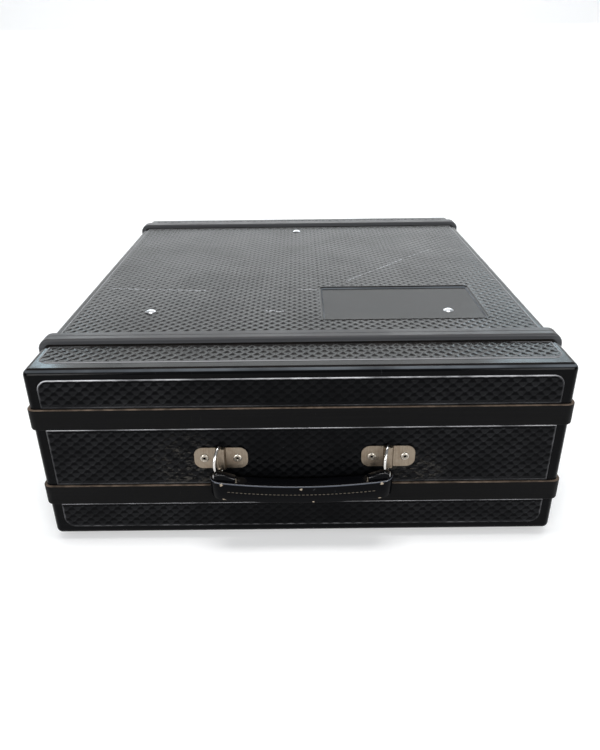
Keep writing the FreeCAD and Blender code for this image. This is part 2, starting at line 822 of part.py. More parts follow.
def turned_to_rear(shape):
    """A piece of a lid made for the front, turned round to close the rear."""
    copy = shape.copy()
    copy.rotate(Vector(0, 0, 0), up, 180)
    copy.translate(Vector(0, rear_face, 0))
    return copy


def fasteners(places, one):
    """A group of identical fasteners, one solid at each place."""
    return Part.makeCompound([point_out(one.copy(), point, outward) for point, outward in places])


def rear_places(places):
    """The rear lid's fastener places, turned into the frame in which a lid is made."""
    turned = []
    for point, outward in places:
        turned.append((Vector(-point.x, rear_face - point.y, point.z), outward * -1))
    return turned


# Body
add("body_shell", body_shell())
add("body_front_valance", valance(front_seam, 1, True))
add("body_rear_valance", valance(rear_seam, -1, True))
add("front_gasket", gasket(front_seam, 1))
add("rear_gasket", gasket(rear_seam, -1))
strip_names = ["lower", "upper"]
for row, row_name in enumerate(strip_names):
    strip = body_strip(row)
    add("body_strip_right_" + row_name, strip)
    add("body_strip_left_" + row_name, mirror_x(strip))
front_brace_top = recess_floor - wall
rear_brace_top = top_z - wall - shell_fit
front_rail = rack_rail(rail_front_face, 1, front_brace_top - brace_thickness)
rear_rail = rack_rail(rail_rear_face, -1, rear_brace_top - brace_thickness)
add("front_rack_rail_right", front_rail)
add("front_rack_rail_left", mirror_x(front_rail))
add("rear_rack_rail_right", rear_rail)
add("rear_rack_rail_left", mirror_x(rear_rail))
rail_stack = panel_proud + wall + rail_thickness + shell_fit
add("rail_bolts", fasteners(rail_bolt_places, rail_bolt(rail_stack)))
add("front_cross_brace", brace(front_brace_y, front_brace_top))
add("rear_cross_brace", brace(rear_brace_y, rear_brace_top))
spacer = Part.makeCylinder(
    spacer_radius, top_z - wall - front_brace_top, Vector(top_rivet_left, front_brace_y, front_brace_top))
add("brace_spacer", drilled(spacer, top_rivet_places[:1], drill_reach + wall))
top_grips = [
    top_z + panel_proud - front_brace_top + brace_thickness,
    recess_floor - front_brace_top + brace_thickness,
    top_z + panel_proud - rear_brace_top + brace_thickness]
top_rivets = []
for (point, outward), grip in zip(top_rivet_places, top_grips):
    top_rivets.append(point_out(rivet(top_rivet_radius, top_rivet_height, grip), point, outward))
add("top_rivets", Part.makeCompound(top_rivets))

# Lids
front_keeper_rivets = keeper_rivet_places[:2]
rear_keeper_rivets = keeper_rivet_places[2:]
add("front_lid_shell", lid_shell(front_lid_depth, True, front_keeper_rivets))
add("front_lid_valance", valance(front_seam, -1, False))
rear_shell = lid_shell(rear_lid_depth, False, rear_places(rear_keeper_rivets))
add("rear_lid_shell", turned_to_rear(rear_shell))
add("rear_lid_valance", valance(rear_seam, 1, False))
for row, row_name in enumerate(strip_names):
    add("front_lid_strip_" + row_name, lid_strip(row, front_lid_depth))
    add("rear_lid_strip_" + row_name, turned_to_rear(lid_strip(row, rear_lid_depth)))

# Latches
base_solid = latch_base()
pin_solid = latch_pin()
lever_solid = latch_lever()
bail_solid = latch_bail()
keeper_solid = latch_keeper()
for latch_seam, inward, end_name in latch_ends:
    for side, side_name in latch_sides:
        corner_name = end_name + "_" + side_name
        corner = (latch_seam, inward, side)
        base = drilled(placed_latch(base_solid, *corner), base_rivet_places, drill_reach)
        add("latch_base_" + corner_name, base)
        add("latch_lever_" + corner_name, placed_latch(lever_solid, *corner))
        add("latch_bail_" + corner_name, placed_latch(bail_solid, *corner))
        keeper = drilled(placed_latch(keeper_solid, *corner), keeper_rivet_places, drill_reach)
        add("latch_keeper_" + corner_name, keeper)
pins = []
for latch_seam, inward, end_name in latch_ends:
    for side, side_name in latch_sides:
        pins.append(placed_latch(pin_solid, latch_seam, inward, side))
add("latch_pins", Part.makeCompound(pins))
base_stack = base_thickness + panel_proud + wall
keeper_stack = keeper_thickness + panel_proud + wall
base_rivet = rivet(side_rivet_radius, side_rivet_height, base_stack)
keeper_rivet = rivet(side_rivet_radius, side_rivet_height, keeper_stack)
add("latch_base_rivets", fasteners(base_rivet_places, base_rivet))
add("front_keeper_rivets", fasteners(front_keeper_rivets, keeper_rivet))
add("rear_keeper_rivets", fasteners(rear_keeper_rivets, keeper_rivet))

# Handle
for plate_x, side_name in zip(plate_centres, ("left", "right")):
    add("handle_plate_" + side_name, handle_plate(plate_x))
    add("handle_ring_" + side_name, handle_ring(plate_x))
plate_stack = plate_thickness + panel_proud + wall
add("handle_plate_rivets", fasteners(plate_rivet_places, blind_rivet(plate_stack)))
core_solid = grip_core()
add("grip_core", core_solid)
add("grip_cover", grip_cover(core_solid))

# The row's origin is on the floor, in the middle of the whole object's length
front_reach = exported["grip_cover"].optimalBoundingBox().YMin
rear_reach = rear_face + strip_proud
origin_y = (front_reach + rear_reach) / 2
os.makedirs("parts", exist_ok=True)
for name, shape in exported.items():
    shape.translate(Vector(0, -origin_y, 0))
    shape.exportStep(os.path.join("parts", name + ".step"))
    kinds = "solids %d valid %s" % (len(shape.Solids), shape.isValid())
    print("%-28s %s volume %.1f" % (name, kinds, shape.Volume))
print("front face at y %.3f" % -origin_y)
print("seams at y %.3f and %.3f" % (front_seam - origin_y, rear_seam - origin_y))
print("hinge at y %.3f z %.3f" % (hinge_y - origin_y, hinge_z))
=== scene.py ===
"""Rack case with a lift-off lid at each end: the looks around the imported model, in metres."""

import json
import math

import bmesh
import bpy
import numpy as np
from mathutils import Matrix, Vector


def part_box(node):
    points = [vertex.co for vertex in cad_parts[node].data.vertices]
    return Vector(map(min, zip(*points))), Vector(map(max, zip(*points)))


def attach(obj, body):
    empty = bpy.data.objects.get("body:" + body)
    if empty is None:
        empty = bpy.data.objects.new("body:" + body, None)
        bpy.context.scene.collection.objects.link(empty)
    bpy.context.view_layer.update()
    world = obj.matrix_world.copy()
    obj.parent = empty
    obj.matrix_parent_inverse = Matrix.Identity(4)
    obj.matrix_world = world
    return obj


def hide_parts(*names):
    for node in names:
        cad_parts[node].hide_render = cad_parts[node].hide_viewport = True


bl_info = {
    "name": "Rack case",
    "version": (1, 0, 0),
    "blender": (4, 5, 0),
    "location": "View3D > Sidebar > Rack case",
    "description": "Builds a moulded rack case with dimpled panels, rub strips and a stitched handle",
    "category": "Object",
}

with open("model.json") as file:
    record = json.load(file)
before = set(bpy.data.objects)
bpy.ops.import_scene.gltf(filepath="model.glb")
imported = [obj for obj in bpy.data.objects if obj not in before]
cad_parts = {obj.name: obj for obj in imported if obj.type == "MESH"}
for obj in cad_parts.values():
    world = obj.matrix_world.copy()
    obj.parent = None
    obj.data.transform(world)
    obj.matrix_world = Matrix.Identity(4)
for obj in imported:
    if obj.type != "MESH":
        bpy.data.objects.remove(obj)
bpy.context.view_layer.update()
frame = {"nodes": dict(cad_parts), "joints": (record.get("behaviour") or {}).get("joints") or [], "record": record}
UP = Vector((0, 0, 1))
END_NAMES = ("front", "rear")
SIDES = ((-1, "left"), (1, "right"))
ROWS = ("lower", "middle", "upper")


class CaseSizes(bpy.types.PropertyGroup):
    """Driving sizes of the shells, their raised panels and the rub strips."""

    edge_radius: bpy.props.FloatProperty(
        name="Edge radius", description="Rounding of the shells' edges", default=0.007, unit="LENGTH")
    wall: bpy.props.FloatProperty(
        name="Wall", description="Thickness of the shells", default=0.004, unit="LENGTH")
    front_depth: bpy.props.FloatProperty(
        name="Front lid depth", description="From the front face to the seam", default=0.0755, unit="LENGTH")
    rear_depth: bpy.props.FloatProperty(
        name="Rear lid depth", description="From the rear face to the seam", default=0.0545, unit="LENGTH")
    shell_setback: bpy.props.FloatProperty(
        name="Shell setback", description="From the seam to the shell's edge", default=0.00305, unit="LENGTH")
    panel_proud: bpy.props.FloatProperty(
        name="Panel height", description="How far the raised panels stand out", default=0.001, unit="LENGTH")
    panel_radius: bpy.props.FloatProperty(
        name="Panel corner radius", description="Rounding of the panels' corners", default=0.012, unit="LENGTH")
    panel_slope: bpy.props.FloatProperty(
        name="Panel edge slope", description="Width of the sloping panel edge", default=0.0023, unit="LENGTH")
    side_border: bpy.props.FloatProperty(
        name="Side border", description="Plain border beside the top panels", default=0.0095, unit="LENGTH")
    front_border: bpy.props.FloatProperty(
        name="Front border", description="Plain border beside the front panels", default=0.0132, unit="LENGTH")
    top_border: bpy.props.FloatProperty(
        name="Top front border", description="Plain border ahead of the top panel", default=0.017, unit="LENGTH")
    end_border: bpy.props.FloatProperty(
        name="End border", description="Plain border above and below the side panels", default=0.0106, unit="LENGTH")
    seam_border: bpy.props.FloatProperty(
        name="Seam border", description="From the seam to the nearest panel", default=0.0174, unit="LENGTH")
    strip_gap: bpy.props.FloatProperty(
        name="Gap at strips", description="Between a panel and a rub strip", default=0.0007, unit="LENGTH")
    strip_round: bpy.props.FloatProperty(
        name="Strip edge", description="Rounding of the rub strips' edges", default=0.0007, unit="LENGTH")
    dimple_across: bpy.props.FloatProperty(
        name="Dimple width", description="Spacing of the dimples across", default=0.0128, unit="LENGTH")
    dimple_along: bpy.props.FloatProperty(
        name="Dimple height", description="Spacing of the dimples along", default=0.0122, unit="LENGTH")
    dimple_up: bpy.props.FloatProperty(
        name="Dimple pitch up", description="Rise from one dimple to the next on a wall", default=0.00995, unit="LENGTH")
    dimple_depth: bpy.props.FloatProperty(
        name="Dimple depth", description="Depth of a dimple under the ridges", default=0.00095, unit="LENGTH")
    recess_depth: bpy.props.FloatProperty(
        name="Recess depth", description="Depth of the sunken plate on top", default=0.0015, unit="LENGTH")
    recess_slope: bpy.props.FloatProperty(
        name="Recess slope", description="Width of the sunken plate's leaning walls", default=0.0028, unit="LENGTH")
    recess_radius: bpy.props.FloatProperty(
        name="Recess corner", description="Rounding of the sunken plate's corners", default=0.006, unit="LENGTH")


class HandleSizes(bpy.types.PropertyGroup):
    """Driving sizes of the stitched grip, in its own upright frame under the hinge axis."""

    length: bpy.props.FloatProperty(
        name="Grip length", description="Length of the grip", default=0.194, unit="LENGTH")
    height: bpy.props.FloatProperty(
        name="Grip height", description="Height of the grip", default=0.025, unit="LENGTH")
    thickness: bpy.props.FloatProperty(
        name="Grip thickness", description="Thickness of the grip", default=0.014, unit="LENGTH")
    end_round: bpy.props.FloatProperty(
        name="End rounding", description="Length over which the grip's ends curve back", default=0.011, unit="LENGTH")
    edge_round: bpy.props.FloatProperty(
        name="Edge rounding", description="Rounding of the grip's long edges", default=0.0016, unit="LENGTH")
    arch: bpy.props.FloatProperty(
        name="Arch", description="How far the middle hangs under the ends", default=0.0086, unit="LENGTH")
    drop: bpy.props.FloatProperty(
        name="Drop", description="From the hinge axis to the grip's top", default=0.0147, unit="LENGTH")
    rear_gap: bpy.props.FloatProperty(
        name="Rear gap", description="From the hinge axis to the pivot of the tilt", default=0.007, unit="LENGTH")
    rear_face: bpy.props.FloatProperty(
        name="Rear face", description="From the hinge axis to the grip's rear", default=0.006, unit="LENGTH")
    tilt: bpy.props.FloatProperty(
        name="Tilt", description="Lean of the grip towards the case", default=math.radians(10), unit="ROTATION")
    shift: bpy.props.FloatProperty(
        name="Shift", description="From the middle of the rings to the grip's middle", default=-0.0036, unit="LENGTH")
    ring_spacing: bpy.props.FloatProperty(
        name="Ring spacing", description="Between the two rings", default=0.1776, unit="LENGTH")
    rivet_spacing: bpy.props.FloatProperty(
        name="Rivet spacing", description="Between the two rivets of a plate", default=0.0352, unit="LENGTH")
    centre: bpy.props.FloatProperty(
        name="Handle centre", description="X of the middle between the rings", default=0.0035, unit="LENGTH")


class Colours(bpy.types.PropertyGroup):
    """Base colours of the finishes, and the colours of the painted highlights and painted light on the slopes."""

    case: bpy.props.FloatVectorProperty(
        name="Case", description="Moulded plastic of the shells", default=(0.0016, 0.0017, 0.0020), subtype="COLOR")
    # Painted light: the lighter colour given to the up-facing slopes and ridges of the wall panels.
    painted_slope_light: bpy.props.FloatVectorProperty(
        name="Ridges", description="Rubbed ridges between the dimples", default=(0.0165, 0.0168, 0.0182), subtype="COLOR")
    # Painted highlight: the bright colour painted along the panels' upper rims.
    rim: bpy.props.FloatVectorProperty(
        name="Rims", description="Rubbed upper edges of the panels", default=(0.50, 0.50, 0.52), subtype="COLOR")
    scuff: bpy.props.FloatVectorProperty(
        name="Scuffs", description="Dusty scuffs round the handle plates", default=(0.060, 0.055, 0.048), subtype="COLOR")
    # Painted highlight: the colour painted along the shells' rounded upper edges.
    painted_edge_shine: bpy.props.FloatVectorProperty(
        name="Shine", description="Rubbed round edges of the shells", default=(0.090, 0.100, 0.112), subtype="COLOR")
    valance: bpy.props.FloatVectorProperty(
        name="Valances", description="Rims at the seams", default=(0.044, 0.045, 0.048), subtype="COLOR")
    strip: bpy.props.FloatVectorProperty(
        name="Rub strips", description="Strips along the sides", default=(0.0022, 0.0022, 0.0023), subtype="COLOR")
    dust: bpy.props.FloatVectorProperty(
        name="Dust", description="Brown dust on the ledges", default=(0.22, 0.165, 0.125), subtype="COLOR")
    scratch: bpy.props.FloatVectorProperty(
        name="Scratches", description="Pale scratches in the plastic", default=(0.42, 0.43, 0.45), subtype="COLOR")
    nickel: bpy.props.FloatVectorProperty(
        name="Nickel", description="Handle plates", default=(0.26, 0.215, 0.165), subtype="COLOR")
    latch: bpy.props.FloatVectorProperty(
        name="Latches", description="Draw latches", default=(0.56, 0.54, 0.50), subtype="COLOR")
    bright: bpy.props.FloatVectorProperty(
        name="Bright wire", description="Handle rings and bails", default=(0.72, 0.70, 0.67), subtype="COLOR")
    aluminium: bpy.props.FloatVectorProperty(
        name="Aluminium", description="Rivets and braces", default=(0.72, 0.73, 0.75), subtype="COLOR")
    grip: bpy.props.FloatVectorProperty(
        name="Grip", description="Leathercloth of the grip", default=(0.0016, 0.0017, 0.0022), subtype="COLOR")
    thread: bpy.props.FloatVectorProperty(
        name="Thread", description="Stitches of the grip", default=(0.20, 0.165, 0.12), subtype="COLOR")
    # Painted highlight: the colour painted along the grip's upper edge.
    painted_edge_sheen: bpy.props.FloatVectorProperty(
        name="Rubbed edge", description="Upper edge of the grip", default=(0.15, 0.165, 0.20), subtype="COLOR")
    wear_and_sheen: bpy.props.FloatVectorProperty(
        name="Worn corners", description="Bared edges of the grip", default=(0.30, 0.25, 0.19), subtype="COLOR")
    floor: bpy.props.FloatVectorProperty(
        name="Floor", description="Floor and backdrop", default=(0.86, 0.86, 0.86), subtype="COLOR")


def sizes():
    """The case's sizes as the sidebar holds them."""
    return bpy.context.scene.rack_case_sizes


def handle_sizes():
    """The handle's sizes as the sidebar holds them."""
    return bpy.context.scene.rack_case_handle


def colours():
    """The finishes' colours as the sidebar holds them."""
    return bpy.context.scene.rack_case_colours


class Case:
    """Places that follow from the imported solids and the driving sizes."""

    def __init__(self):
        s = sizes()
        low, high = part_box("body_shell")
        self.half_width = high.x - s.panel_proud
        self.bottom = low.z + s.panel_proud
        self.top = high.z - s.panel_proud
        self.middle = (self.bottom + self.top) / 2
        self.half_height = (self.top - self.bottom) / 2
        self.front_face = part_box("front_lid_shell")[0].y + s.panel_proud
        self.rear_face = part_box("rear_lid_shell")[1].y - s.panel_proud
        self.front_seam = self.front_face + s.front_depth
        self.rear_seam = self.rear_face - s.rear_depth
        self.strip_rows = []
        for name in ("lower", "upper"):
            low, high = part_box("body_strip_right_" + name)
            self.strip_rows.append((low.z, high.z))
        gap = s.strip_gap
        self.panel_rows = [
            (self.bottom + s.end_border, self.strip_rows[0][0] - gap),
            (self.strip_rows[0][1] + gap, self.strip_rows[1][0] - gap),
            (self.strip_rows[1][1] + gap, self.top - s.end_border)]


def mesh_object(name, points, faces, material, body, sharp_angle=35.0):
    """A mesh piece that rides on a body, smooth but for its sharp edges."""
    mesh = bpy.data.meshes.new(name)
    mesh.from_pydata([tuple(p) for p in points], [], [tuple(f) for f in faces])
    mesh.validate()
    piece = bpy.data.objects.new(name, mesh)
    bpy.context.scene.collection.objects.link(piece)
    finish_shading(piece, sharp_angle)
    mesh.materials.append(material)
    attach(piece, body)
    return piece


def finish_shading(piece, sharp_angle):
    """Outward faces, smooth shading and sharp edges where the faces meet steeply."""
    work = bmesh.new()
    work.from_mesh(piece.data)
    bmesh.ops.recalc_face_normals(work, faces=work.faces)
    work.to_mesh(piece.data)
    work.free()
    piece.data.shade_smooth()
    piece.data.set_sharp_from_angle(angle=math.radians(sharp_angle))


def weighted_normals(piece):
    """Keeps the flat faces flat beside their rounded edges."""
    modifier = piece.modifiers.new("weighted", "WEIGHTED_NORMAL")
    modifier.keep_sharp = True
    modifier.weight = 100
    apply_modifiers(piece)


def apply_modifiers(piece):
    """Puts what the modifiers make into the piece's mesh."""
    graph = bpy.context.evaluated_depsgraph_get()
    made = bpy.data.meshes.new_from_object(piece.evaluated_get(graph))
    made.name = piece.name
    piece.modifiers.clear()
    piece.data = made


def combine(piece, other, operation):
    """Joins another object's solid to the piece, or cuts it out, and removes the other."""
    modifier = piece.modifiers.new("combine", "BOOLEAN")
    modifier.operation = operation
    modifier.solver = "EXACT"
    modifier.object = other
    apply_modifiers(piece)
    bpy.data.objects.remove(other)


def loft(loops, closed_ends=False, ring=False):
    """Faces between loops of equal length, with caps or as a closed ring of loops."""
    count = len(loops[0])
    points = [p for loop in loops for p in loop]
    faces = []
    for i in range(len(loops) - 1 + ring):
        here = i * count
        there = (i + 1) % len(loops) * count
        for k in range(count):
            after = (k + 1) % count
            faces.append((here + k, here + after, there + after, there + k))
    if closed_ends:
        faces.append(tuple(range(count)))
        faces.append(tuple(range((len(loops) - 1) * count, len(loops) * count)))
    return points, faces


def corner_loop(half_u, half_v, radius, steps=10):
    """A rounded rectangle as (u, v) pairs round the origin, the same count for any radius."""
    pairs = []
    for quarter, (su, sv) in enumerate(((1, 1), (-1, 1), (-1, -1), (1, -1))):
        for i in range(steps + 1):
            angle = math.pi / 2 * (quarter + i / steps)
            u = su * (half_u - radius) + radius * math.cos(angle)
            v = sv * (half_v - radius) + radius * math.sin(angle)
            pairs.append((u, v))
    return pairs


def section(case, inset, y, radius):
    """The case's rounded cross section at y, made smaller by an inset."""
    pairs = corner_loop(case.half_width - inset, case.half_height - inset, max(radius, 1e-5))
    return [Vector((u, y, case.middle + v)) for u, v in pairs]


def tray_loops(case, face_y, open_y, inset):
    """Loops of a lid's wall from its rounded face to its open end."""
    radius = sizes().edge_radius - inset
    way = 1 if open_y > face_y else -1
    loops = []
    steps = 10
    for i in range(steps + 1):
        angle = math.pi / 2 * i / steps
        out = radius * math.sin(angle)
        y = face_y + way * (inset + radius - radius * math.cos(angle))
        loops.append(section(case, inset + radius - out, y, out))
    loops.append(section(case, inset, open_y, radius))
    return loops


def lid_tray(case, end, material):
    """A lid's shell as an open tray, without its raised panels."""
    s = sizes()
    if end == "front":
        face_y, open_y = case.front_face, case.front_seam - s.shell_setback
    else:
        face_y, open_y = case.rear_face, case.rear_seam + s.shell_setback
    outer = tray_loops(case, face_y, open_y, 0)
    inner = tray_loops(case, face_y, open_y, s.wall)
    points, faces = loft(outer + inner[::-1], closed_ends=True)
    tray = mesh_object(end + "_lid_tray", points, faces, material, end + "_lid")
    weighted_normals(tray)
    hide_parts(end + "_lid_shell")
    return tray


def body_sleeve(case, material):
    """The body's shell with the sunken plate, without its raised panels."""
    s = sizes()
    y0 = case.front_seam + s.shell_setback
    y1 = case.rear_seam - s.shell_setback
    inner = s.edge_radius - s.wall
    loops = [
        section(case, 0, y0, s.edge_radius), section(case, 0, y1, s.edge_radius),
        section(case, s.wall, y1, inner), section(case, s.wall, y0, inner)]
    points, faces = loft(loops, ring=True)
    sleeve = mesh_object("body_sleeve", points, faces, material, "case_body")
    x0, x1, ry0, ry1 = recess_outline(case)
    floor_z = case.top - s.recess_depth
    pan = rounded_slab(
        (x0 - s.wall, x1 + s.wall), (ry0 - s.wall, ry1 + s.wall),
        (floor_z - s.wall, case.top - s.wall / 2), s.recess_radius + s.wall)
    combine(sleeve, pan, "UNION")
    rim_z = case.top + s.panel_proud
    insets = [s.recess_slope, -s.recess_slope]
    pocket = rounded_slab((x0, x1), (ry0, ry1), (floor_z, 2 * rim_z - floor_z), s.recess_radius, insets)
    combine(sleeve, pocket, "DIFFERENCE")
    finish_shading(sleeve, 35.0)
    weighted_normals(sleeve)
    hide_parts("body_shell")
    return sleeve


def rounded_slab(xs, ys, zs, radius, insets=(0.0, 0.0)):
    """A rounded slab used to join or cut; the insets make its lower and upper end smaller."""
    centre_x, centre_y = sum(xs) / 2, sum(ys) / 2
    loops = []
    for z, inset in zip(zs, insets):
        pairs = corner_loop((xs[1] - xs[0]) / 2 - inset, (ys[1] - ys[0]) / 2 - inset, radius - inset)
        loops.append([Vector((centre_x + u, centre_y + v, z)) for u, v in pairs])
    points, faces = loft(loops, closed_ends=True)
    mesh = bpy.data.meshes.new("slab")
    mesh.from_pydata([tuple(p) for p in points], [], faces)
    slab = bpy.data.objects.new("slab", mesh)
    bpy.context.scene.collection.objects.link(slab)
    finish_shading(slab, 35.0)
    return slab


def recess_outline(case):
    """The sunken plate's place on top as x0, x1, y0, y1."""
    return 0.027, 0.222, case.front_face + 0.1295, case.front_face + 0.2455


def distance_outside(u, v, outline, radii):
    """Signed distance from a rounded rectangle, positive outside; radii start at (low, low), anticlockwise."""
    u0, u1, v0, v1 = outline
    du = u - (u0 + u1) / 2
    dv = v - (v0 + v1) / 2
    radius = np.where(
        du < 0, np.where(dv < 0, radii[0], radii[3]), np.where(dv < 0, radii[1], radii[2]))
    qu = np.abs(du) - (u1 - u0) / 2 + radius
    qv = np.abs(dv) - (v1 - v0) / 2 + radius
    outside = np.hypot(np.maximum(qu, 0), np.maximum(qv, 0))
    return outside + np.minimum(np.maximum(qu, qv), 0) - radius


def grid_lines(low, high, pitch, phase, per_dimple):
    """Grid lines that follow the dimples, with closer ones along both borders."""
    step = pitch / per_dimple
    first = math.ceil((low - phase) / step)
    last = math.floor((high - phase) / step)
    lines = [phase + i * step for i in range(first, last + 1)]
    slope = sizes().panel_slope
    near = [0, 0.06 * slope, 0.28 * slope, 0.6 * slope, slope]
    kept = [x for x in lines if low + 1.3 * slope < x < high - 1.3 * slope]
    return np.array([low + n for n in near] + kept + [high - n for n in reversed(near)])


def dimple_field(u, v, phase, along):
    """How deep in a dimple each point is, from 0 on the ridges to 1 at a dimple's middle."""
    s = sizes()
    a = (u - phase[0]) / s.dimple_across
    b = (v - phase[1]) / along
    best = np.full(a.shape, 9.0)
    for shift in (0.0, 0.5):
        da = np.abs(a + shift - np.round(a + shift)) * 2
        db = np.abs(b + shift - np.round(b + shift)) * 2
        roundness = 1.4
        best = np.minimum(best, (da ** roundness + db ** roundness) ** (1 / roundness))
    edge = 0.92
    inside = np.clip(1 - (best / edge) ** 2, 0, 1)
    return inside ** 0.62


def dimpled_panel(name, body, material, outline, radii, place, phase, along, hole=None, per_dimple=8):
    """A raised panel with its dimples; place turns (u, v, height) rows into points of the case."""
    s = sizes()
    us = grid_lines(outline[0], outline[1], s.dimple_across, phase[0], per_dimple)
    vs = grid_lines(outline[2], outline[3], along, phase[1], per_dimple)
    if hole:
        us = np.unique(np.concatenate([us, border_lines(hole[0], hole[1])]).round(6))
        vs = np.unique(np.concatenate([vs, border_lines(hole[2], hole[3])]).round(6))
    u, v = np.meshgrid(us, vs, indexing="ij")

    def outside(u, v):
        distance = distance_outside(u, v, outline, radii)
        if hole:
            distance = np.maximum(distance, -distance_outside(u, v, hole, [s.recess_radius] * 4))
        return distance

    distance = outside(u, v)
    small = 1e-5
    inside = distance < -small
    cell = inside[:-1, :-1] | inside[1:, :-1] | inside[:-1, 1:] | inside[1:, 1:]
    for _ in range(3):
        slope_u = (outside(u + small, v) - outside(u - small, v)) / (2 * small)
        slope_v = (outside(u, v + small) - outside(u, v - small)) / (2 * small)
        move = np.where(distance > 0, distance, 0)
        u = u - move * slope_u
        v = v - move * slope_v
        distance = outside(u, v)
    rise = np.clip(-distance / s.panel_slope, 0, 1)
    rise = np.sqrt(1 - (1 - rise) ** 2)
    hollow = dimple_field(u, v, phase, along) * np.clip(-distance / s.panel_slope / 0.7 - 0.8, 0, 1)
    root = 0.0002
    height = (s.panel_proud + root - s.dimple_depth * hollow) * rise - root
    rows = np.stack([u.ravel(), v.ravel(), height.ravel()], axis=1)
    index = np.arange(u.size).reshape(u.shape)
    quads = np.stack([index[:-1, :-1], index[1:, :-1], index[1:, 1:], index[:-1, 1:]], axis=-1)[cell]
    used, flat = np.unique(quads.ravel(), return_inverse=True)
    points = place(rows[used])
    panel = mesh_object(name, points, flat.reshape(-1, 4), material, body, 180.0)
    cavity = panel.data.attributes.new("cavity", "FLOAT", "POINT")
    cavity.data.foreach_set("value", (hollow * rise).ravel()[used].astype(np.float32))
    # This attribute marks the panel's sloping edge, where the materials paint a highlight.
    rim = panel.data.attributes.new("rim", "FLOAT", "POINT")
    near_edge = np.clip(1.7 - np.abs(distance / s.panel_slope + 0.25) * 3.4, 0, 1)
    rim.data.foreach_set("value", near_edge.ravel()[used].astype(np.float32))
    return panel


def border_lines(low, high):
    """Extra grid lines round a hole's border."""
    slope = sizes().panel_slope
    return np.array([low - slope, low - 0.5 * slope, low, high, high + 0.5 * slope, high + slope])


def place_level(height, way):
    """Rows (x, y, h) onto the top, or onto the underside with way -1."""
    return lambda rows: np.stack([rows[:, 0], rows[:, 1], height + way * rows[:, 2]], axis=1)


def place_side(x, way):
    """Rows (y, z, h) onto a side wall."""
    return lambda rows: np.stack([way * (x + rows[:, 2]), rows[:, 0], rows[:, 1]], axis=1)


def place_end(y, way):
    """Rows (x, z, h) onto the front or the rear face."""
    return lambda rows: np.stack([rows[:, 0], y + way * rows[:, 2], rows[:, 1]], axis=1)


def level_panels(case, name, body, material, y0, y1, radii, hole=None):
    """The top and the underside panel of one shell."""
    s = sizes()
    half = case.half_width - s.side_border
    outline = (-half, half, y0, y1)
    phase = (0.0, case.front_face)
    dimpled_panel(
        name + "_top_panel", body, material, outline, radii, place_level(case.top, 1), phase,
        s.dimple_along, hole)
    dimpled_panel(
        name + "_base_panel", body, material, outline, radii, place_level(case.bottom, -1), phase,
        s.dimple_along, per_dimple=6)


def side_panels(case, name, body, material, y0, y1, rounded):
    """The panels on both sides of one shell; rounded says which ends have round corners."""
    phase = (case.front_face, case.middle)
    for row, (z0, z1) in enumerate(case.panel_rows):
        radii = row_radii(row, z1 - z0, rounded)
        for way, side in SIDES:
            dimpled_panel(
                "_".join((name, ROWS[row], side, "panel")), body, material, (y0, y1, z0, z1), radii,
                place_side(case.half_width, way), phase, sizes().dimple_up, per_dimple=6)


def row_radii(row, height, rounded):
    """Corner radii of a panel row: the outer rows are round at the case's corners."""
    radius = min(sizes().panel_radius, height / 2 - 0.0005)
    lower = radius if row == 0 else 0.0
    upper = radius if row == 2 else 0.0
    low_u, high_u = rounded
    return [lower * low_u, lower * high_u, upper * high_u, upper * low_u]


def end_panels(case, end, material):
    """The panels on a lid's closed face."""
    half = case.half_width - sizes().front_border
    face_y, way = (case.front_face, -1) if end == "front" else (case.rear_face, 1)
    phase = (0.0, case.middle)
    for row, (z0, z1) in enumerate(case.panel_rows):
        dimpled_panel(
            "_".join((end, "face", ROWS[row], "panel")), end + "_lid", material,
            (-half, half, z0, z1), row_radii(row, z1 - z0, (1, 1)), place_end(face_y, way), phase,
            sizes().dimple_up, per_dimple=8 if end == "front" else 6)


def all_panels(case, material, ridged):
    """Every dimpled panel of the body and the two lids; ridged is the walls' finish."""
    s = sizes()
    round_top = min(s.panel_radius, (case.panel_rows[0][1] - case.panel_rows[0][0]) / 2 - 0.0005)
    y0, y1 = case.front_seam + s.seam_border, case.rear_seam - s.seam_border
    level_panels(case, "body", "case_body", material, y0, y1, [0] * 4, recess_outline(case))
    side_panels(case, "body", "case_body", ridged, y0, y1, (0, 0))
    y0, y1 = case.front_face + s.top_border, case.front_seam - s.seam_border
    level_panels(case, "front_lid", "front_lid", material, y0, y1, [round_top, round_top, 0, 0])
    side_panels(case, "front_lid", "front_lid", ridged, y0, y1, (1, 0))
    y0, y1 = case.rear_seam + s.seam_border, case.rear_face - s.top_border
    level_panels(case, "rear_lid", "rear_lid", material, y0, y1, [0, 0, round_top, round_top])
    side_panels(case, "rear_lid", "rear_lid", ridged, y0, y1, (0, 1))
    for end in END_NAMES:
        end_panels(case, end, ridged)


def strip_profile(z0, z1, proud):
    """The rub strip's section as (outset, z) pairs with rounded outer edges and a faintly crowned face."""
    r = sizes().strip_round
    inner = 0.00005
    pairs = [(inner, z0), (proud - r, z0)]
    for i in range(1, 5):
        angle = math.pi / 2 * i / 5
        pairs.append((proud - r + r * math.sin(angle), z0 + r - r * math.cos(angle)))
    pairs += [(proud, z0 + r), (proud, z1 - r)]
    for i in range(1, 5):
        angle = math.pi / 2 * i / 5
        pairs.append((proud - r + r * math.cos(angle), z1 - r + r * math.sin(angle)))
    return pairs + [(proud - r, z1), (inner, z1)]


def sweep_strip(name, node, body, material, path, profile):
    """A strip whose profile runs along (point, outward) pairs of a path on the shell."""
    loops = []
    for point, outward in path:
        loops.append([point + outward * out + UP * z for out, z in profile])
    points, faces = loft(loops, closed_ends=True)
    strip = mesh_object(name, points, faces, material, body)
    weighted_normals(strip)
    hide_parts(node)
    return strip


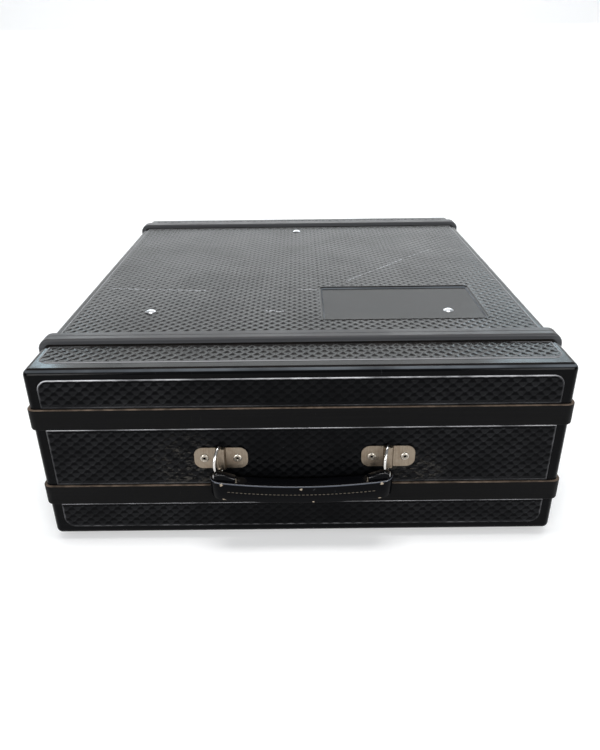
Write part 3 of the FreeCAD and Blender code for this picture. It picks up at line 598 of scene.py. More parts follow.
def lid_strip_path(case, end):
    """The way of a lid's rub strip: forward along one side, across the face and back."""
    s = sizes()
    low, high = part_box(end + "_lid_strip_lower")
    if end == "front":
        open_y, centre_y, way = high.y, case.front_face + s.edge_radius, -1
    else:
        open_y, centre_y, way = low.y, case.rear_face - s.edge_radius, 1
    steps = 10
    path = []
    for side in (-1, 1):
        arc = []
        for i in range(steps + 1):
            angle = math.pi / 2 * i / steps
            outward = Vector((side * math.cos(angle), way * math.sin(angle), 0))
            centre = Vector((side * (case.half_width - s.edge_radius), centre_y, 0))
            arc.append((centre + outward * s.edge_radius, outward))
        open_end = (Vector((side * case.half_width, open_y, 0)), Vector((side, 0, 0)))
        path += [open_end] + arc if side < 0 else arc[::-1] + [open_end]
    return path


def rub_strips(case, material):
    """The rub strips on both lids and both sides of the body."""
    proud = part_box("body_strip_right_lower")[1].x - case.half_width
    for row, (z0, z1) in zip(("lower", "upper"), case.strip_rows):
        profile = strip_profile(z0, z1, proud)
        for end in END_NAMES:
            node = end + "_lid_strip_" + row
            sweep_strip(node + "_moulding", node, end + "_lid", material, lid_strip_path(case, end), profile)
        for way, side in SIDES:
            node = "_".join(("body_strip", side, row))
            low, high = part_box(node)
            outward = Vector((way, 0, 0))
            path = [(Vector((way * case.half_width, y, 0)), outward) for y in (low.y, high.y)]
            sweep_strip(node + "_moulding", node, "case_body", material, path, profile)


def seat_grip(point):
    """Moves a point of the grip's own upright frame to its place on the case."""
    h = handle_sizes()
    hinge = hinge_point()
    pivot_y, pivot_z = -h.rear_gap, -h.drop
    dy, dz = point[1] - pivot_y, point[2] - pivot_z
    cos, sin = math.cos(h.tilt), math.sin(h.tilt)
    return Vector((
        point[0] + h.centre + h.shift,
        pivot_y + dy * cos - dz * sin + hinge.y,
        pivot_z + dy * sin + dz * cos + hinge.z))


def hinge_point():
    """A point on the handle's hinge axis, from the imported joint."""
    for joint in frame["joints"]:
        if joint["child"] == "handle":
            return Vector(joint["pos_m"])
    raise RuntimeError("the packed model has no handle joint")


def arch_offset(x):
    """How much lower the grip hangs at x than at its ends."""
    h = handle_sizes()
    half = h.length / 2
    radius = (half * half + h.arch * h.arch) / (2 * h.arch)
    return h.arch - (radius - math.sqrt(max(radius * radius - x * x, 0)))


def grip_loop(x, steps):
    """The grip's section at x: a flat strap form whose front curves back towards its rounded ends."""
    h = handle_sizes()
    past = max(0.0, abs(x) - (h.length / 2 - h.end_round)) / h.end_round
    bend = 1 - math.sqrt(max(1 - past * past, 0))
    front = -h.rear_face - h.thickness + bend * h.thickness * 0.72
    rear = -h.rear_face - bend * h.thickness * 0.2
    half_thick = (rear - front) / 2
    half_high = h.height / 2 - 0.0009 * past ** 3
    radius = min(h.edge_round, half_thick * 0.95)
    centre_z = -h.drop - h.height / 2 - arch_offset(x)
    loop = []
    for u, v in corner_loop(half_thick, half_high, radius, steps):
        loop.append(seat_grip((x, (front + rear) / 2 + u, centre_z + v)))
    return loop


def grip_cover(material):
    """The stitched cover of the grip."""
    h = handle_sizes()
    half = h.length / 2
    ends = [half - h.end_round * (1 - math.sin(math.pi / 2 * i / 12)) for i in range(13)]
    ends[-1] = half - 0.00002
    inner = list(np.linspace(-(half - h.end_round), half - h.end_round, 49))
    xs = [-x for x in reversed(ends)][:-1] + inner + ends[1:]
    loops = [grip_loop(x, 5) for x in xs]
    points, faces = loft(loops, closed_ends=True)
    cover = mesh_object("grip_leathercloth", points, faces, material, "handle", 60.0)
    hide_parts("grip_cover")
    return cover


def grip_tabs(material):
    """The folded tabs at the grip's ends that close over the rings."""
    h = handle_sizes()
    ear_height, ear_width, taper, thick = 0.0062, 0.011, 0.014, 0.0075
    middle_y = -h.rear_face - h.thickness / 2
    for side, side_name in SIDES:
        centre = side * h.ring_spacing / 2 - 0.0034 - h.shift
        limit = h.length / 2 - 0.001
        outer = max(-limit, min(limit, centre + side * 0.0035))
        inner = centre - side * ear_width / 2
        far = inner - side * taper
        top = -h.drop + ear_height
        root = -h.drop - 0.006
        outline = [(outer, root), (outer, top), (inner, top), (far, -h.drop + 0.0006), (far, root)]
        loops = []
        for y in (middle_y - thick / 2, middle_y + thick / 2):
            loops.append([seat_grip((x, y, z)) for x, z in outline])
        points, faces = loft(loops, closed_ends=True)
        tab = mesh_object("grip_tab_" + side_name, points, faces, material, "handle")
        bevel = tab.modifiers.new("bevel", "BEVEL")
        bevel.width = 0.0016
        bevel.segments = 4
        apply_modifiers(tab)
        finish_shading(tab, 60.0)


def turned(profile, centre, across, other, outward, sides=28):
    """Points and faces of a turned form; profile is (radius, height) pairs from its rim to its middle."""
    loops = []
    for radius, height in profile:
        loop = []
        for k in range(sides):
            angle = 2 * math.pi * k / sides
            spread = across * math.cos(angle) + other * math.sin(angle)
            loop.append(centre + spread * radius + outward * height)
        loops.append(loop)
    return loft(loops, closed_ends=True)


def plate_rivets(case, material, shade):
    """The four hollow rivets of the handle plates, each a domed flange round a pierced collar, with a black disc set in
    each hole as painted shade.
    """
    h = handle_sizes()
    low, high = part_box("handle_plate_rivets")
    hinge = hinge_point()
    seat = case.front_face - sizes().panel_proud - 0.0012
    proud = seat - low.y
    inner = (seat - high.y) / proud
    under = inner + 0.7
    profile = [
        (2.9, inner), (2.9, under), (2.0, under), (2.0, 0.0), (4.75, 0.0), (4.75, 0.20), (4.45, 0.52), (3.95, 0.82),
        (3.35, 0.98), (2.95, 1.0), (2.72, 0.70), (2.50, 0.30), (2.28, 0.62), (2.05, 0.90), (1.75, 0.90), (1.50, 0.70),
        (1.42, -1.1), (0.30, -1.1)]
    parts, hole_shades = [], []
    for side, _ in SIDES:
        for reach in (-1, 1):
            x = h.centre + side * h.ring_spacing / 2 + reach * h.rivet_spacing / 2
            centre = Vector((x, seat, hinge.z))
            # A black disc a little way down each hole: painted shade standing in for the dark inside of the hole.
            dark = [(0.00145, 0.15 * proud), (0.0002, 0.15 * proud)]
            hole_shades.append(turned(dark, centre, Vector((1, 0, 0)), UP, Vector((0, -1, 0))))
            scaled = [(radius * 0.001, height * proud) for radius, height in profile]
            parts.append(turned(scaled, centre, Vector((1, 0, 0)), UP, Vector((0, -1, 0))))
    points, faces = join_parts(parts)
    rivets = mesh_object("plate_rivet_heads", points, faces, material, "front_lid", 40.0)
    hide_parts("handle_plate_rivets")
    points, faces = join_parts(hole_shades)
    mesh_object("plate_rivet_hole_shade", points, faces, shade, "front_lid", 40.0)


def thread_stitch(start, end, radius, sides=6):
    """Points and faces of one stitch: a short thread with rounded ends."""
    along = (end - start).normalized()
    across = along.cross(UP).normalized() if abs(along.z) < 0.9 else Vector((1, 0, 0))
    other = along.cross(across)
    length = (end - start).length
    loops = []
    for share in (0.0, 0.12, 0.3, 0.5, 0.7, 0.88, 1.0):
        swell = radius * max(0.15, math.sin(math.pi * share) ** 0.5)
        centre = start + along * (length * share)
        loop = []
        for k in range(sides):
            angle = 2 * math.pi * k / sides
            loop.append(centre + (across * math.cos(angle) + other * math.sin(angle)) * swell)
        loops.append(loop)
    return loft(loops, closed_ends=True)


def join_parts(parts):
    """Several point and face lists as one."""
    points = []
    faces = []
    for some_points, some_faces in parts:
        start = len(points)
        points += some_points
        faces += [tuple(start + i for i in face) for face in some_faces]
    return points, faces


def grip_stitches(thread, dark_thread):
    """The row of stitches along the grip's face and the short ones that close its tabs."""
    h = handle_sizes()
    front = -h.rear_face - h.thickness
    parts = []
    pitch, length = 0.0044, 0.0031
    x = -0.079
    while x < 0.079:
        ends = []
        for along in (x, x + length):
            z = -h.drop - h.height / 2 - arch_offset(along) + 0.0008
            ends.append(seat_grip((along, front + 0.0001, z)))
        parts.append(thread_stitch(ends[0], ends[1], 0.0005))
        x += pitch
    points, faces = join_parts(parts)
    row = mesh_object("grip_stitch_row", points, faces, dark_thread, "handle", 180.0)
    parts = []
    middle = -h.rear_face - h.thickness / 2
    for side, _ in SIDES:
        tab_end = side * h.ring_spacing / 2 - 0.0034 - h.shift - side * 0.0195
        root = -h.drop - arch_offset(tab_end)
        for k in range(2):
            start = seat_grip((tab_end, middle - 0.003, root + k * 0.0029 - 0.0004))
            end = seat_grip((tab_end + 0.0002, middle - 0.003, root + (k + 1) * 0.0029))
            parts.append(thread_stitch(start, end, 0.0005))
        foot = seat_grip((tab_end - side * 0.001, middle - 0.0038, root + 0.0003))
        parts.append(thread_stitch(seat_grip((tab_end + side * 0.0016, middle - 0.003, root + 0.0004)), foot, 0.0005))
    points, faces = join_parts(parts)
    ends = mesh_object("grip_tab_stitches", points, faces, thread, "handle", 180.0)


def add_node(tree, kind, inputs=None, **settings):
    """A shader node with its settings; an input is a socket to link or a plain value."""
    node = tree.nodes.new(kind)
    for name, value in settings.items():
        setattr(node, name, value)
    for name, value in (inputs or {}).items():
        socket = node.inputs[name]
        if isinstance(value, bpy.types.NodeSocket):
            tree.links.new(value, socket)
        else:
            socket.default_value = value
    return node


def calculate(tree, operation, first, second=0.0, clamp=False):
    """The result of one Math node."""
    node = add_node(tree, "ShaderNodeMath", {0: first, 1: second}, operation=operation)
    node.use_clamp = clamp
    return node.outputs[0]


def blend_colours(tree, factor, first, second):
    """The result of one colour Mix node."""
    node = add_node(tree, "ShaderNodeMix", {"Factor": factor}, data_type="RGBA")
    for name, value in (("A", first), ("B", second)):
        socket = next(i for i in node.inputs if i.name == name and i.type == "RGBA")
        if isinstance(value, bpy.types.NodeSocket):
            tree.links.new(value, socket)
        else:
            socket.default_value = (*value[:3], 1.0)
    return next(o for o in node.outputs if o.type == "RGBA")


def ramp(tree, value, low, high, out_low=0.0, out_high=1.0, smooth=True):
    """A value mapped from one range to another."""
    node = add_node(
        tree, "ShaderNodeMapRange",
        {"Value": value, "From Min": low, "From Max": high, "To Min": out_low, "To Max": out_high},
        interpolation_type="SMOOTHSTEP" if smooth else "LINEAR")
    return node.outputs["Result"]


def noise(tree, vector, scale, detail=3.0, roughness=0.55):
    """A noise texture's value."""
    node = add_node(
        tree, "ShaderNodeTexNoise",
        {"Vector": vector, "Scale": scale, "Detail": detail, "Roughness": roughness})
    return node.outputs["Fac"]


def stretched(tree, vector, scale):
    """The coordinates scaled by a different amount along each axis."""
    node = add_node(tree, "ShaderNodeMapping", {"Vector": vector, "Scale": scale})
    return node.outputs["Vector"]


def effect_group(name, inputs, outputs):
    """An empty node group with named inputs and outputs; returns it with its two end nodes."""
    tree = bpy.data.node_groups.new(name, "ShaderNodeTree")
    for label, kind, default in inputs:
        socket = tree.interface.new_socket(name=label, in_out="INPUT", socket_type="NodeSocket" + kind)
        if default is not None:
            socket.default_value = default
    for label, kind in outputs:
        tree.interface.new_socket(name=label, in_out="OUTPUT", socket_type="NodeSocket" + kind)
    return tree, tree.nodes.new("NodeGroupInput"), tree.nodes.new("NodeGroupOutput")


def scratches_group():
    """Fine random scratches in two directions and their depth."""
    tree, ins, outs = effect_group(
        "Fine scratches",
        [("Vector", "Vector", None), ("Scale", "Float", 1.0), ("Amount", "Float", 0.5)],
        [("Mask", "Float")])
    layers = []
    for turn, stretch in ((0.35, (9.0, 420.0, 60.0)), (-0.6, (300.0, 12.0, 50.0)), (1.2, (14.0, 500.0, 30.0))):
        turned = add_node(
            tree, "ShaderNodeMapping", {"Vector": ins.outputs["Vector"], "Rotation": (0.0, 0.0, turn)})
        scaled = add_node(
            tree, "ShaderNodeVectorMath", {0: stretched(tree, turned.outputs[0], stretch), 3: ins.outputs["Scale"]},
            operation="SCALE")
        layers.append(ramp(tree, noise(tree, scaled.outputs[0], 1.0, 1.0), 0.77, 0.83))
    strongest = calculate(tree, "MAXIMUM", calculate(tree, "MAXIMUM", layers[0], layers[1]), layers[2])
    patches = ramp(tree, noise(tree, ins.outputs["Vector"], 9.0), 0.42, 0.62)
    mask = calculate(tree, "MULTIPLY", calculate(tree, "MULTIPLY", strongest, patches), ins.outputs["Amount"])
    tree.links.new(mask, outs.inputs["Mask"])
    return tree


def dust_group():
    """Dust that lies on what faces up, in uneven patches."""
    tree, ins, outs = effect_group(
        "Dust",
        [("Vector", "Vector", None), ("Level", "Float", 0.5), ("Patch size", "Float", 60.0)],
        [("Mask", "Float")])
    normal = add_node(tree, "ShaderNodeNewGeometry").outputs["Normal"]
    up = add_node(tree, "ShaderNodeSeparateXYZ", {"Vector": normal}).outputs["Z"]
    facing = ramp(tree, up, 0.35, 0.95)
    patches = ramp(tree, noise(tree, ins.outputs["Vector"], ins.outputs["Patch size"], 5.0), 0.30, 0.70, 0.35, 1.0)
    mask = calculate(tree, "MULTIPLY", calculate(tree, "MULTIPLY", facing, patches), ins.outputs["Level"])
    tree.links.new(mask, outs.inputs["Mask"])
    return tree


def haze_group():
    """Slow changes of gloss, as from handling, and a fine moulded unevenness."""
    tree, ins, outs = effect_group(
        "Gloss haze",
        [("Vector", "Vector", None), ("Low", "Float", 0.2), ("High", "Float", 0.35)],
        [("Roughness", "Float"), ("Height", "Float")])
    slow = noise(tree, ins.outputs["Vector"], 14.0, 4.0)
    fine = noise(tree, ins.outputs["Vector"], 900.0, 2.0)
    span = calculate(tree, "SUBTRACT", ins.outputs["High"], ins.outputs["Low"])
    share = ramp(tree, slow, 0.3, 0.7)
    rough = calculate(tree, "ADD", ins.outputs["Low"], calculate(tree, "MULTIPLY", span, share))
    tree.links.new(rough, outs.inputs["Roughness"])
    tree.links.new(fine, outs.inputs["Height"])
    return tree


def brushed_group():
    """Parallel brushing lines with darker tarnish patches."""
    tree, ins, outs = effect_group(
        "Brushed metal",
        [("Vector", "Vector", None), ("Grain", "Vector", (1.0, 1.0, 1.0)), ("Tarnish", "Float", 0.4)],
        [("Lines", "Float"), ("Tarnish", "Float")])
    grain = add_node(
        tree, "ShaderNodeVectorMath", {0: ins.outputs["Vector"], 1: ins.outputs["Grain"]}, operation="MULTIPLY")
    lines = noise(tree, grain.outputs[0], 1.0, 4.0, 0.6)
    patches = ramp(tree, noise(tree, ins.outputs["Vector"], 130.0, 5.0), 0.40, 0.72)
    tree.links.new(lines, outs.inputs["Lines"])
    tree.links.new(calculate(tree, "MULTIPLY", patches, ins.outputs["Tarnish"]), outs.inputs["Tarnish"])
    return tree


def facing_up(tree, low, high, least=0.0):
    """How far a surface's normal rises, as a mask from least to 1."""
    normal = add_node(tree, "ShaderNodeNewGeometry").outputs["Normal"]
    up = add_node(tree, "ShaderNodeSeparateXYZ", {"Vector": normal}).outputs["Z"]
    return ramp(tree, up, low, high, least, 1.0)


def group(tree, name, inputs):
    """An effect group placed in a material."""
    node = tree.nodes.new("ShaderNodeGroup")
    node.node_tree = bpy.data.node_groups[name]
    for label, value in inputs.items():
        if isinstance(value, bpy.types.NodeSocket):
            tree.links.new(value, node.inputs[label])
        else:
            node.inputs[label].default_value = value
    return node.outputs


def new_material(name):
    """A material with its Principled shader and the row's coordinates."""
    material = bpy.data.materials.new(name)
    material.use_nodes = True
    tree = material.node_tree
    shader = tree.nodes["Principled BSDF"]
    position = add_node(tree, "ShaderNodeTexCoord").outputs["Object"]
    return material, tree, shader, position


def bump(tree, height, strength, distance, normal=None):
    """A Bump node's normal."""
    inputs = {"Height": height, "Strength": strength, "Distance": distance}
    if normal is not None:
        inputs["Normal"] = normal
    return add_node(tree, "ShaderNodeBump", inputs).outputs["Normal"]


def line_mask(tree, position, start, end, width, axes="XY"):
    """A thin mark between two points seen along the third axis, broken up by noise."""
    split = add_node(tree, "ShaderNodeSeparateXYZ", {"Vector": position})
    u, v = split.outputs[axes[0]], split.outputs[axes[1]]
    du, dv = end[0] - start[0], end[1] - start[1]
    length = math.hypot(du, dv)
    along = calculate(
        tree, "ADD", calculate(tree, "MULTIPLY", calculate(tree, "SUBTRACT", u, start[0]), du / length ** 2),
        calculate(tree, "MULTIPLY", calculate(tree, "SUBTRACT", v, start[1]), dv / length ** 2))
    across = calculate(
        tree, "ADD", calculate(tree, "MULTIPLY", calculate(tree, "SUBTRACT", u, start[0]), -dv / length),
        calculate(tree, "MULTIPLY", calculate(tree, "SUBTRACT", v, start[1]), du / length))
    near = ramp(tree, calculate(tree, "ABSOLUTE", across), width, width * 0.35)
    middle = calculate(tree, "ABSOLUTE", calculate(tree, "SUBTRACT", along, 0.5))
    within = ramp(tree, middle, 0.52, 0.44)
    broken = ramp(tree, noise(tree, position, 380.0, 2.0), 0.36, 0.56)
    return calculate(tree, "MULTIPLY", calculate(tree, "MULTIPLY", near, within), broken)


def spot_mask(tree, position, centre, radius):
    """A worn spot round a point with a ragged border."""
    away = add_node(
        tree, "ShaderNodeVectorMath", {0: position, 1: tuple(centre)}, operation="DISTANCE").outputs["Value"]
    ragged = calculate(tree, "MULTIPLY", noise(tree, stretched(tree, position, (420.0, 700.0, 900.0)), 1.0, 4.0), radius * 3.0)
    return ramp(tree, calculate(tree, "ADD", away, ragged), radius * 2.7, radius * 2.2)


def strongest(tree, masks):
    """The largest of several masks."""
    result = masks[0]
    for mask in masks[1:]:
        result = calculate(tree, "MAXIMUM", result, mask)
    return result


def case_plastic(name, dimpled, marks=(), coat_and_painted_light=False):
    """Glossy black plastic; marks are (start, end, width) scratches on top; the last flag adds a clear coat, scuffs
    round the handle plates and painted light on the wall panels: lighter up-facing slopes and ridges and a painted
    highlight on the rims. Without it, plain shells get a painted highlight on their rounded edges and dimpled panels on
    their outer rims.
    """
    material, tree, shader, position = new_material(name)
    c = colours()
    haze = group(tree, "Gloss haze", {"Vector": position, "Low": 0.12, "High": 0.22})
    fine = group(
        tree, "Fine scratches", {"Vector": position, "Scale": 1.0, "Amount": 0.0 if coat_and_painted_light else 0.04})["Mask"]
    dust = group(tree, "Dust", {"Vector": position, "Level": 0.03, "Patch size": 40.0})["Mask"]
    wear = fine
    if marks:
        wear = strongest(tree, [fine] + [line_mask(tree, position, *mark) for mark in marks])
    colour = blend_colours(tree, dust, c.case, c.dust)
    colour = blend_colours(tree, wear, colour, c.scratch)
    rough = calculate(tree, "ADD", haze["Roughness"], calculate(tree, "MULTIPLY", wear, 0.25))
    parts = add_node(tree, "ShaderNodeSeparateXYZ", {"Vector": position}).outputs
    sideways = calculate(tree, "ABSOLUTE", parts["X"])
    if dimpled:
        rim = add_node(tree, "ShaderNodeAttribute", attribute_name="rim").outputs["Fac"]
        cavity = add_node(tree, "ShaderNodeAttribute", attribute_name="cavity").outputs["Fac"]
        rough = calculate(tree, "ADD", rough, calculate(tree, "MULTIPLY", cavity, 0.05))
    if not dimpled:
        # Painted highlight along the shells' rounded upper edges, made uneven by noise.
        wear_and_sheen = calculate(tree, "MULTIPLY", facing_up(tree, 0.50, 0.68), facing_up(tree, 0.93, 0.80))
        wear_and_sheen = calculate(tree, "MULTIPLY", wear_and_sheen, ramp(tree, noise(tree, position, 16.0), 0.3, 0.7, 0.45, 1.0))
        colour = blend_colours(tree, wear_and_sheen, colour, c.painted_edge_shine)
    front = Case().front_face
    if dimpled and not coat_and_painted_light:
        # Painted highlight on the panels' rims at their outer sides and at their front end.
        outer = calculate(
            tree, "MAXIMUM", ramp(tree, sideways, 0.224, 0.228), ramp(tree, parts["Y"], front + 0.026, front + 0.022))
        outer = calculate(tree, "MULTIPLY", calculate(tree, "MULTIPLY", rim, outer), 0.45)
        colour = blend_colours(tree, outer, colour, c.rim)
    if coat_and_painted_light:
        # Painted light on the wall panels: up-facing slopes and ridges get a lighter colour, less in the hollows,
        # fading towards the middle across as painted shade.
        middle = ramp(tree, sideways, 0.03, 0.17, 0.30, 1.0)
        patches = ramp(tree, noise(tree, position, 38.0), 0.3, 0.7, 0.45, 1.0)
        painted_slope_mask = calculate(tree, "MULTIPLY", facing_up(tree, -0.10, 0.06), calculate(tree, "MULTIPLY", middle, patches))
        painted_slope_mask = calculate(tree, "MULTIPLY", painted_slope_mask, ramp(tree, cavity, 0.05, 0.6, 1.0, 0.5))
        colour = blend_colours(tree, painted_slope_mask, colour, c.painted_slope_light)
        # Painted highlight on the rims that face up, made uneven by noise.
        uneven = ramp(tree, noise(tree, position, 22.0, 4.0), 0.35, 0.65, 0.22, 1.0)
        rim = calculate(tree, "MULTIPLY", calculate(tree, "MULTIPLY", rim, uneven), facing_up(tree, -0.1, 0.55, 0.06))
        colour = blend_colours(tree, rim, colour, c.rim)
        scuffs = []
        for centre, reach in (((-0.120, front, 0.096), 0.052), ((0.120, front, 0.088), 0.042)):
            away = add_node(
                tree, "ShaderNodeVectorMath", {0: position, 1: centre}, operation="DISTANCE").outputs["Value"]
            scuffs.append(ramp(tree, away, reach, 0.25 * reach))
        lines = ramp(tree, noise(tree, stretched(tree, position, (150.0, 90.0, 420.0)), 1.0, 5.0, 0.7), 0.50, 0.66)
        scuff = calculate(tree, "MULTIPLY", calculate(tree, "MULTIPLY", strongest(tree, scuffs), lines), 0.6)
        colour = blend_colours(tree, scuff, colour, c.scuff)
        gloss = calculate(tree, "MAXIMUM", calculate(tree, "MULTIPLY", painted_slope_mask, 0.2), rim)
        tree.links.new(gloss, shader.inputs["Coat Weight"])
        shader.inputs["Coat IOR"].default_value = 1.25
        shader.inputs["Coat Roughness"].default_value = 0.12
    tree.links.new(colour, shader.inputs["Base Color"])
    tree.links.new(rough, shader.inputs["Roughness"])
    tree.links.new(bump(tree, haze["Height"], 0.12, 0.0002), shader.inputs["Normal"])
    shader.inputs["IOR"].default_value = 1.09 if coat_and_painted_light else 1.16 if dimpled else 1.13
    return material


def satin_plastic(name, colour, low, high, dust_level, grain_scale, ior=1.2):
    """Satin black plastic with streaks along its length and brown dust on its ledges."""
    material, tree, shader, position = new_material(name)
    c = colours()
    haze = group(tree, "Gloss haze", {"Vector": position, "Low": low, "High": high})
    fine = group(tree, "Fine scratches", {"Vector": position, "Scale": 1.4, "Amount": 0.04})["Mask"]
    dust = group(tree, "Dust", {"Vector": position, "Level": dust_level, "Patch size": 90.0})["Mask"]
    streak = ramp(tree, noise(tree, stretched(tree, position, grain_scale), 1.0, 3.0), 0.35, 0.75, 0.0, 0.35)
    base = blend_colours(tree, streak, colour, [2.2 * part for part in colour])
    base = blend_colours(tree, fine, base, c.scratch)
    base = blend_colours(tree, dust, base, c.dust)
    rough = calculate(tree, "ADD", haze["Roughness"], calculate(tree, "MULTIPLY", dust, 0.3))
    tree.links.new(base, shader.inputs["Base Color"])
    tree.links.new(rough, shader.inputs["Roughness"])
    tree.links.new(bump(tree, haze["Height"], 0.2, 0.0002), shader.inputs["Normal"])
    shader.inputs["IOR"].default_value = ior
    return material


def metal(name, colour, low, high, grain, tarnish, tarnish_colour):
    """Bare metal with brushing lines and tarnish."""
    material, tree, shader, position = new_material(name)
    brushed = group(tree, "Brushed metal", {"Vector": position, "Grain": grain, "Tarnish": tarnish})
    lines = ramp(tree, brushed["Lines"], 0.3, 0.7)
    shade = blend_colours(tree, calculate(tree, "MULTIPLY", lines, 0.45), colour, [0.62 * part for part in colour])
    shade = blend_colours(tree, brushed["Tarnish"], shade, tarnish_colour)
    rough = ramp(tree, lines, 0.0, 1.0, low, high, smooth=False)
    rough = calculate(tree, "ADD", rough, calculate(tree, "MULTIPLY", brushed["Tarnish"], 0.3))
    tree.links.new(shade, shader.inputs["Base Color"])
    tree.links.new(rough, shader.inputs["Roughness"])
    tree.links.new(bump(tree, brushed["Lines"], 0.15, 0.0001), shader.inputs["Normal"])
    shader.inputs["Metallic"].default_value = 1.0
    return material


def grip_leathercloth(name, painted_edge_sheen):
    """Black leathercloth with a fine grain and bared spots at its corners; the second argument sets a painted highlight
    along its upper edge.
    """
    material, tree, shader, position = new_material(name)
    c = colours()
    h = handle_sizes()
    front = -h.rear_face - h.thickness
    half = h.length / 2
    top, bottom = -h.drop, -h.drop - h.height
    places = [
        ((-half + 0.0125, front, top - 0.0022 - 0.002), 0.0016), ((half - 0.0125, front, top - 0.0022 - 0.002), 0.0015),
        ((-half + 0.0140, front, bottom - 0.0018), 0.0018), ((half - 0.0128, front, bottom - 0.0018), 0.0018),
        ((-0.0005, front, top - h.arch - 0.0030), 0.0013), ((0.0125, front, bottom - h.arch + 0.0028), 0.0012)]
    spots = [spot_mask(tree, position, seat_grip(point), radius) for point, radius in places]
    wear_and_sheen = strongest(tree, spots)
    cells = add_node(
        tree, "ShaderNodeTexVoronoi", {"Vector": position, "Scale": 1100.0}, feature="SMOOTH_F1").outputs["Distance"]
    haze = group(tree, "Gloss haze", {"Vector": position, "Low": 0.12, "High": 0.26})
    fine = group(tree, "Fine scratches", {"Vector": position, "Scale": 2.0, "Amount": 0.06})["Mask"]
    colour = blend_colours(tree, fine, c.grip, c.scratch)
    colour = blend_colours(tree, wear_and_sheen, colour, c.wear_and_sheen)
    rough = calculate(tree, "ADD", haze["Roughness"], calculate(tree, "MULTIPLY", wear_and_sheen, 0.4))
    # Painted highlight along the grip's upper edge.
    edge = calculate(tree, "MULTIPLY", facing_up(tree, 0.25, 0.55), facing_up(tree, 0.95, 0.70))
    colour = blend_colours(tree, calculate(tree, "MULTIPLY", edge, painted_edge_sheen), colour, c.painted_edge_sheen)
    tree.links.new(facing_up(tree, 0.1, 0.5), shader.inputs["Coat Weight"])
    tree.links.new(colour, shader.inputs["Base Color"])
    tree.links.new(rough, shader.inputs["Roughness"])
    tree.links.new(bump(tree, cells, 0.25, 0.0002), shader.inputs["Normal"])
    shader.inputs["IOR"].default_value = 1.11
    shader.inputs["Coat IOR"].default_value = 1.35
    shader.inputs["Coat Roughness"].default_value = 0.16
    return material


def thread(name, colour):
    """Twisted sewing thread."""
    material, tree, shader, position = new_material(name)
    twist = add_node(
        tree, "ShaderNodeTexWave", {"Vector": position, "Scale": 900.0, "Distortion": 1.5}, bands_direction="DIAGONAL")
    shade = blend_colours(tree, twist.outputs["Fac"], colour, [0.45 * part for part in colour])
    tree.links.new(shade, shader.inputs["Base Color"])
    tree.links.new(bump(tree, twist.outputs["Fac"], 0.5, 0.0003), shader.inputs["Normal"])
    shader.inputs["Roughness"].default_value = 0.75
    return material


def top_marks(case):
    """The long scratches on the body's top as (start, end, width), from where the case shows them."""
    y = case.front_face
    return [
        ((0.062, y + 0.269), (0.158, y + 0.376), 0.0010), ((0.165, y + 0.383), (0.207, y + 0.425), 0.0010),
        ((-0.252, y + 0.251), (-0.199, y + 0.245), 0.0013), ((-0.190, y + 0.244), (-0.123, y + 0.238), 0.0010),
        ((-0.042, y + 0.161), (-0.018, y + 0.157), 0.0015), ((-0.003, y + 0.238), (0.023, y + 0.237), 0.0012),
        ((0.259, y + 0.275), (0.269, y + 0.266), 0.0015), ((-0.078, y + 0.031), (-0.060, y + 0.033), 0.0017)]


def finish_cad_nodes(materials):
    """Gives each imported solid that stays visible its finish."""
    by_slot = {entry["node"]: entry["material_slot"] for entry in frame["record"]["subparts"]}
    for name, node in frame["nodes"].items():
        finish = by_slot[name]
        node.data.materials.clear()
        node.data.materials.append(materials[finish])


class Finishes:
    """The materials, built once and kept by name."""

    made = {}


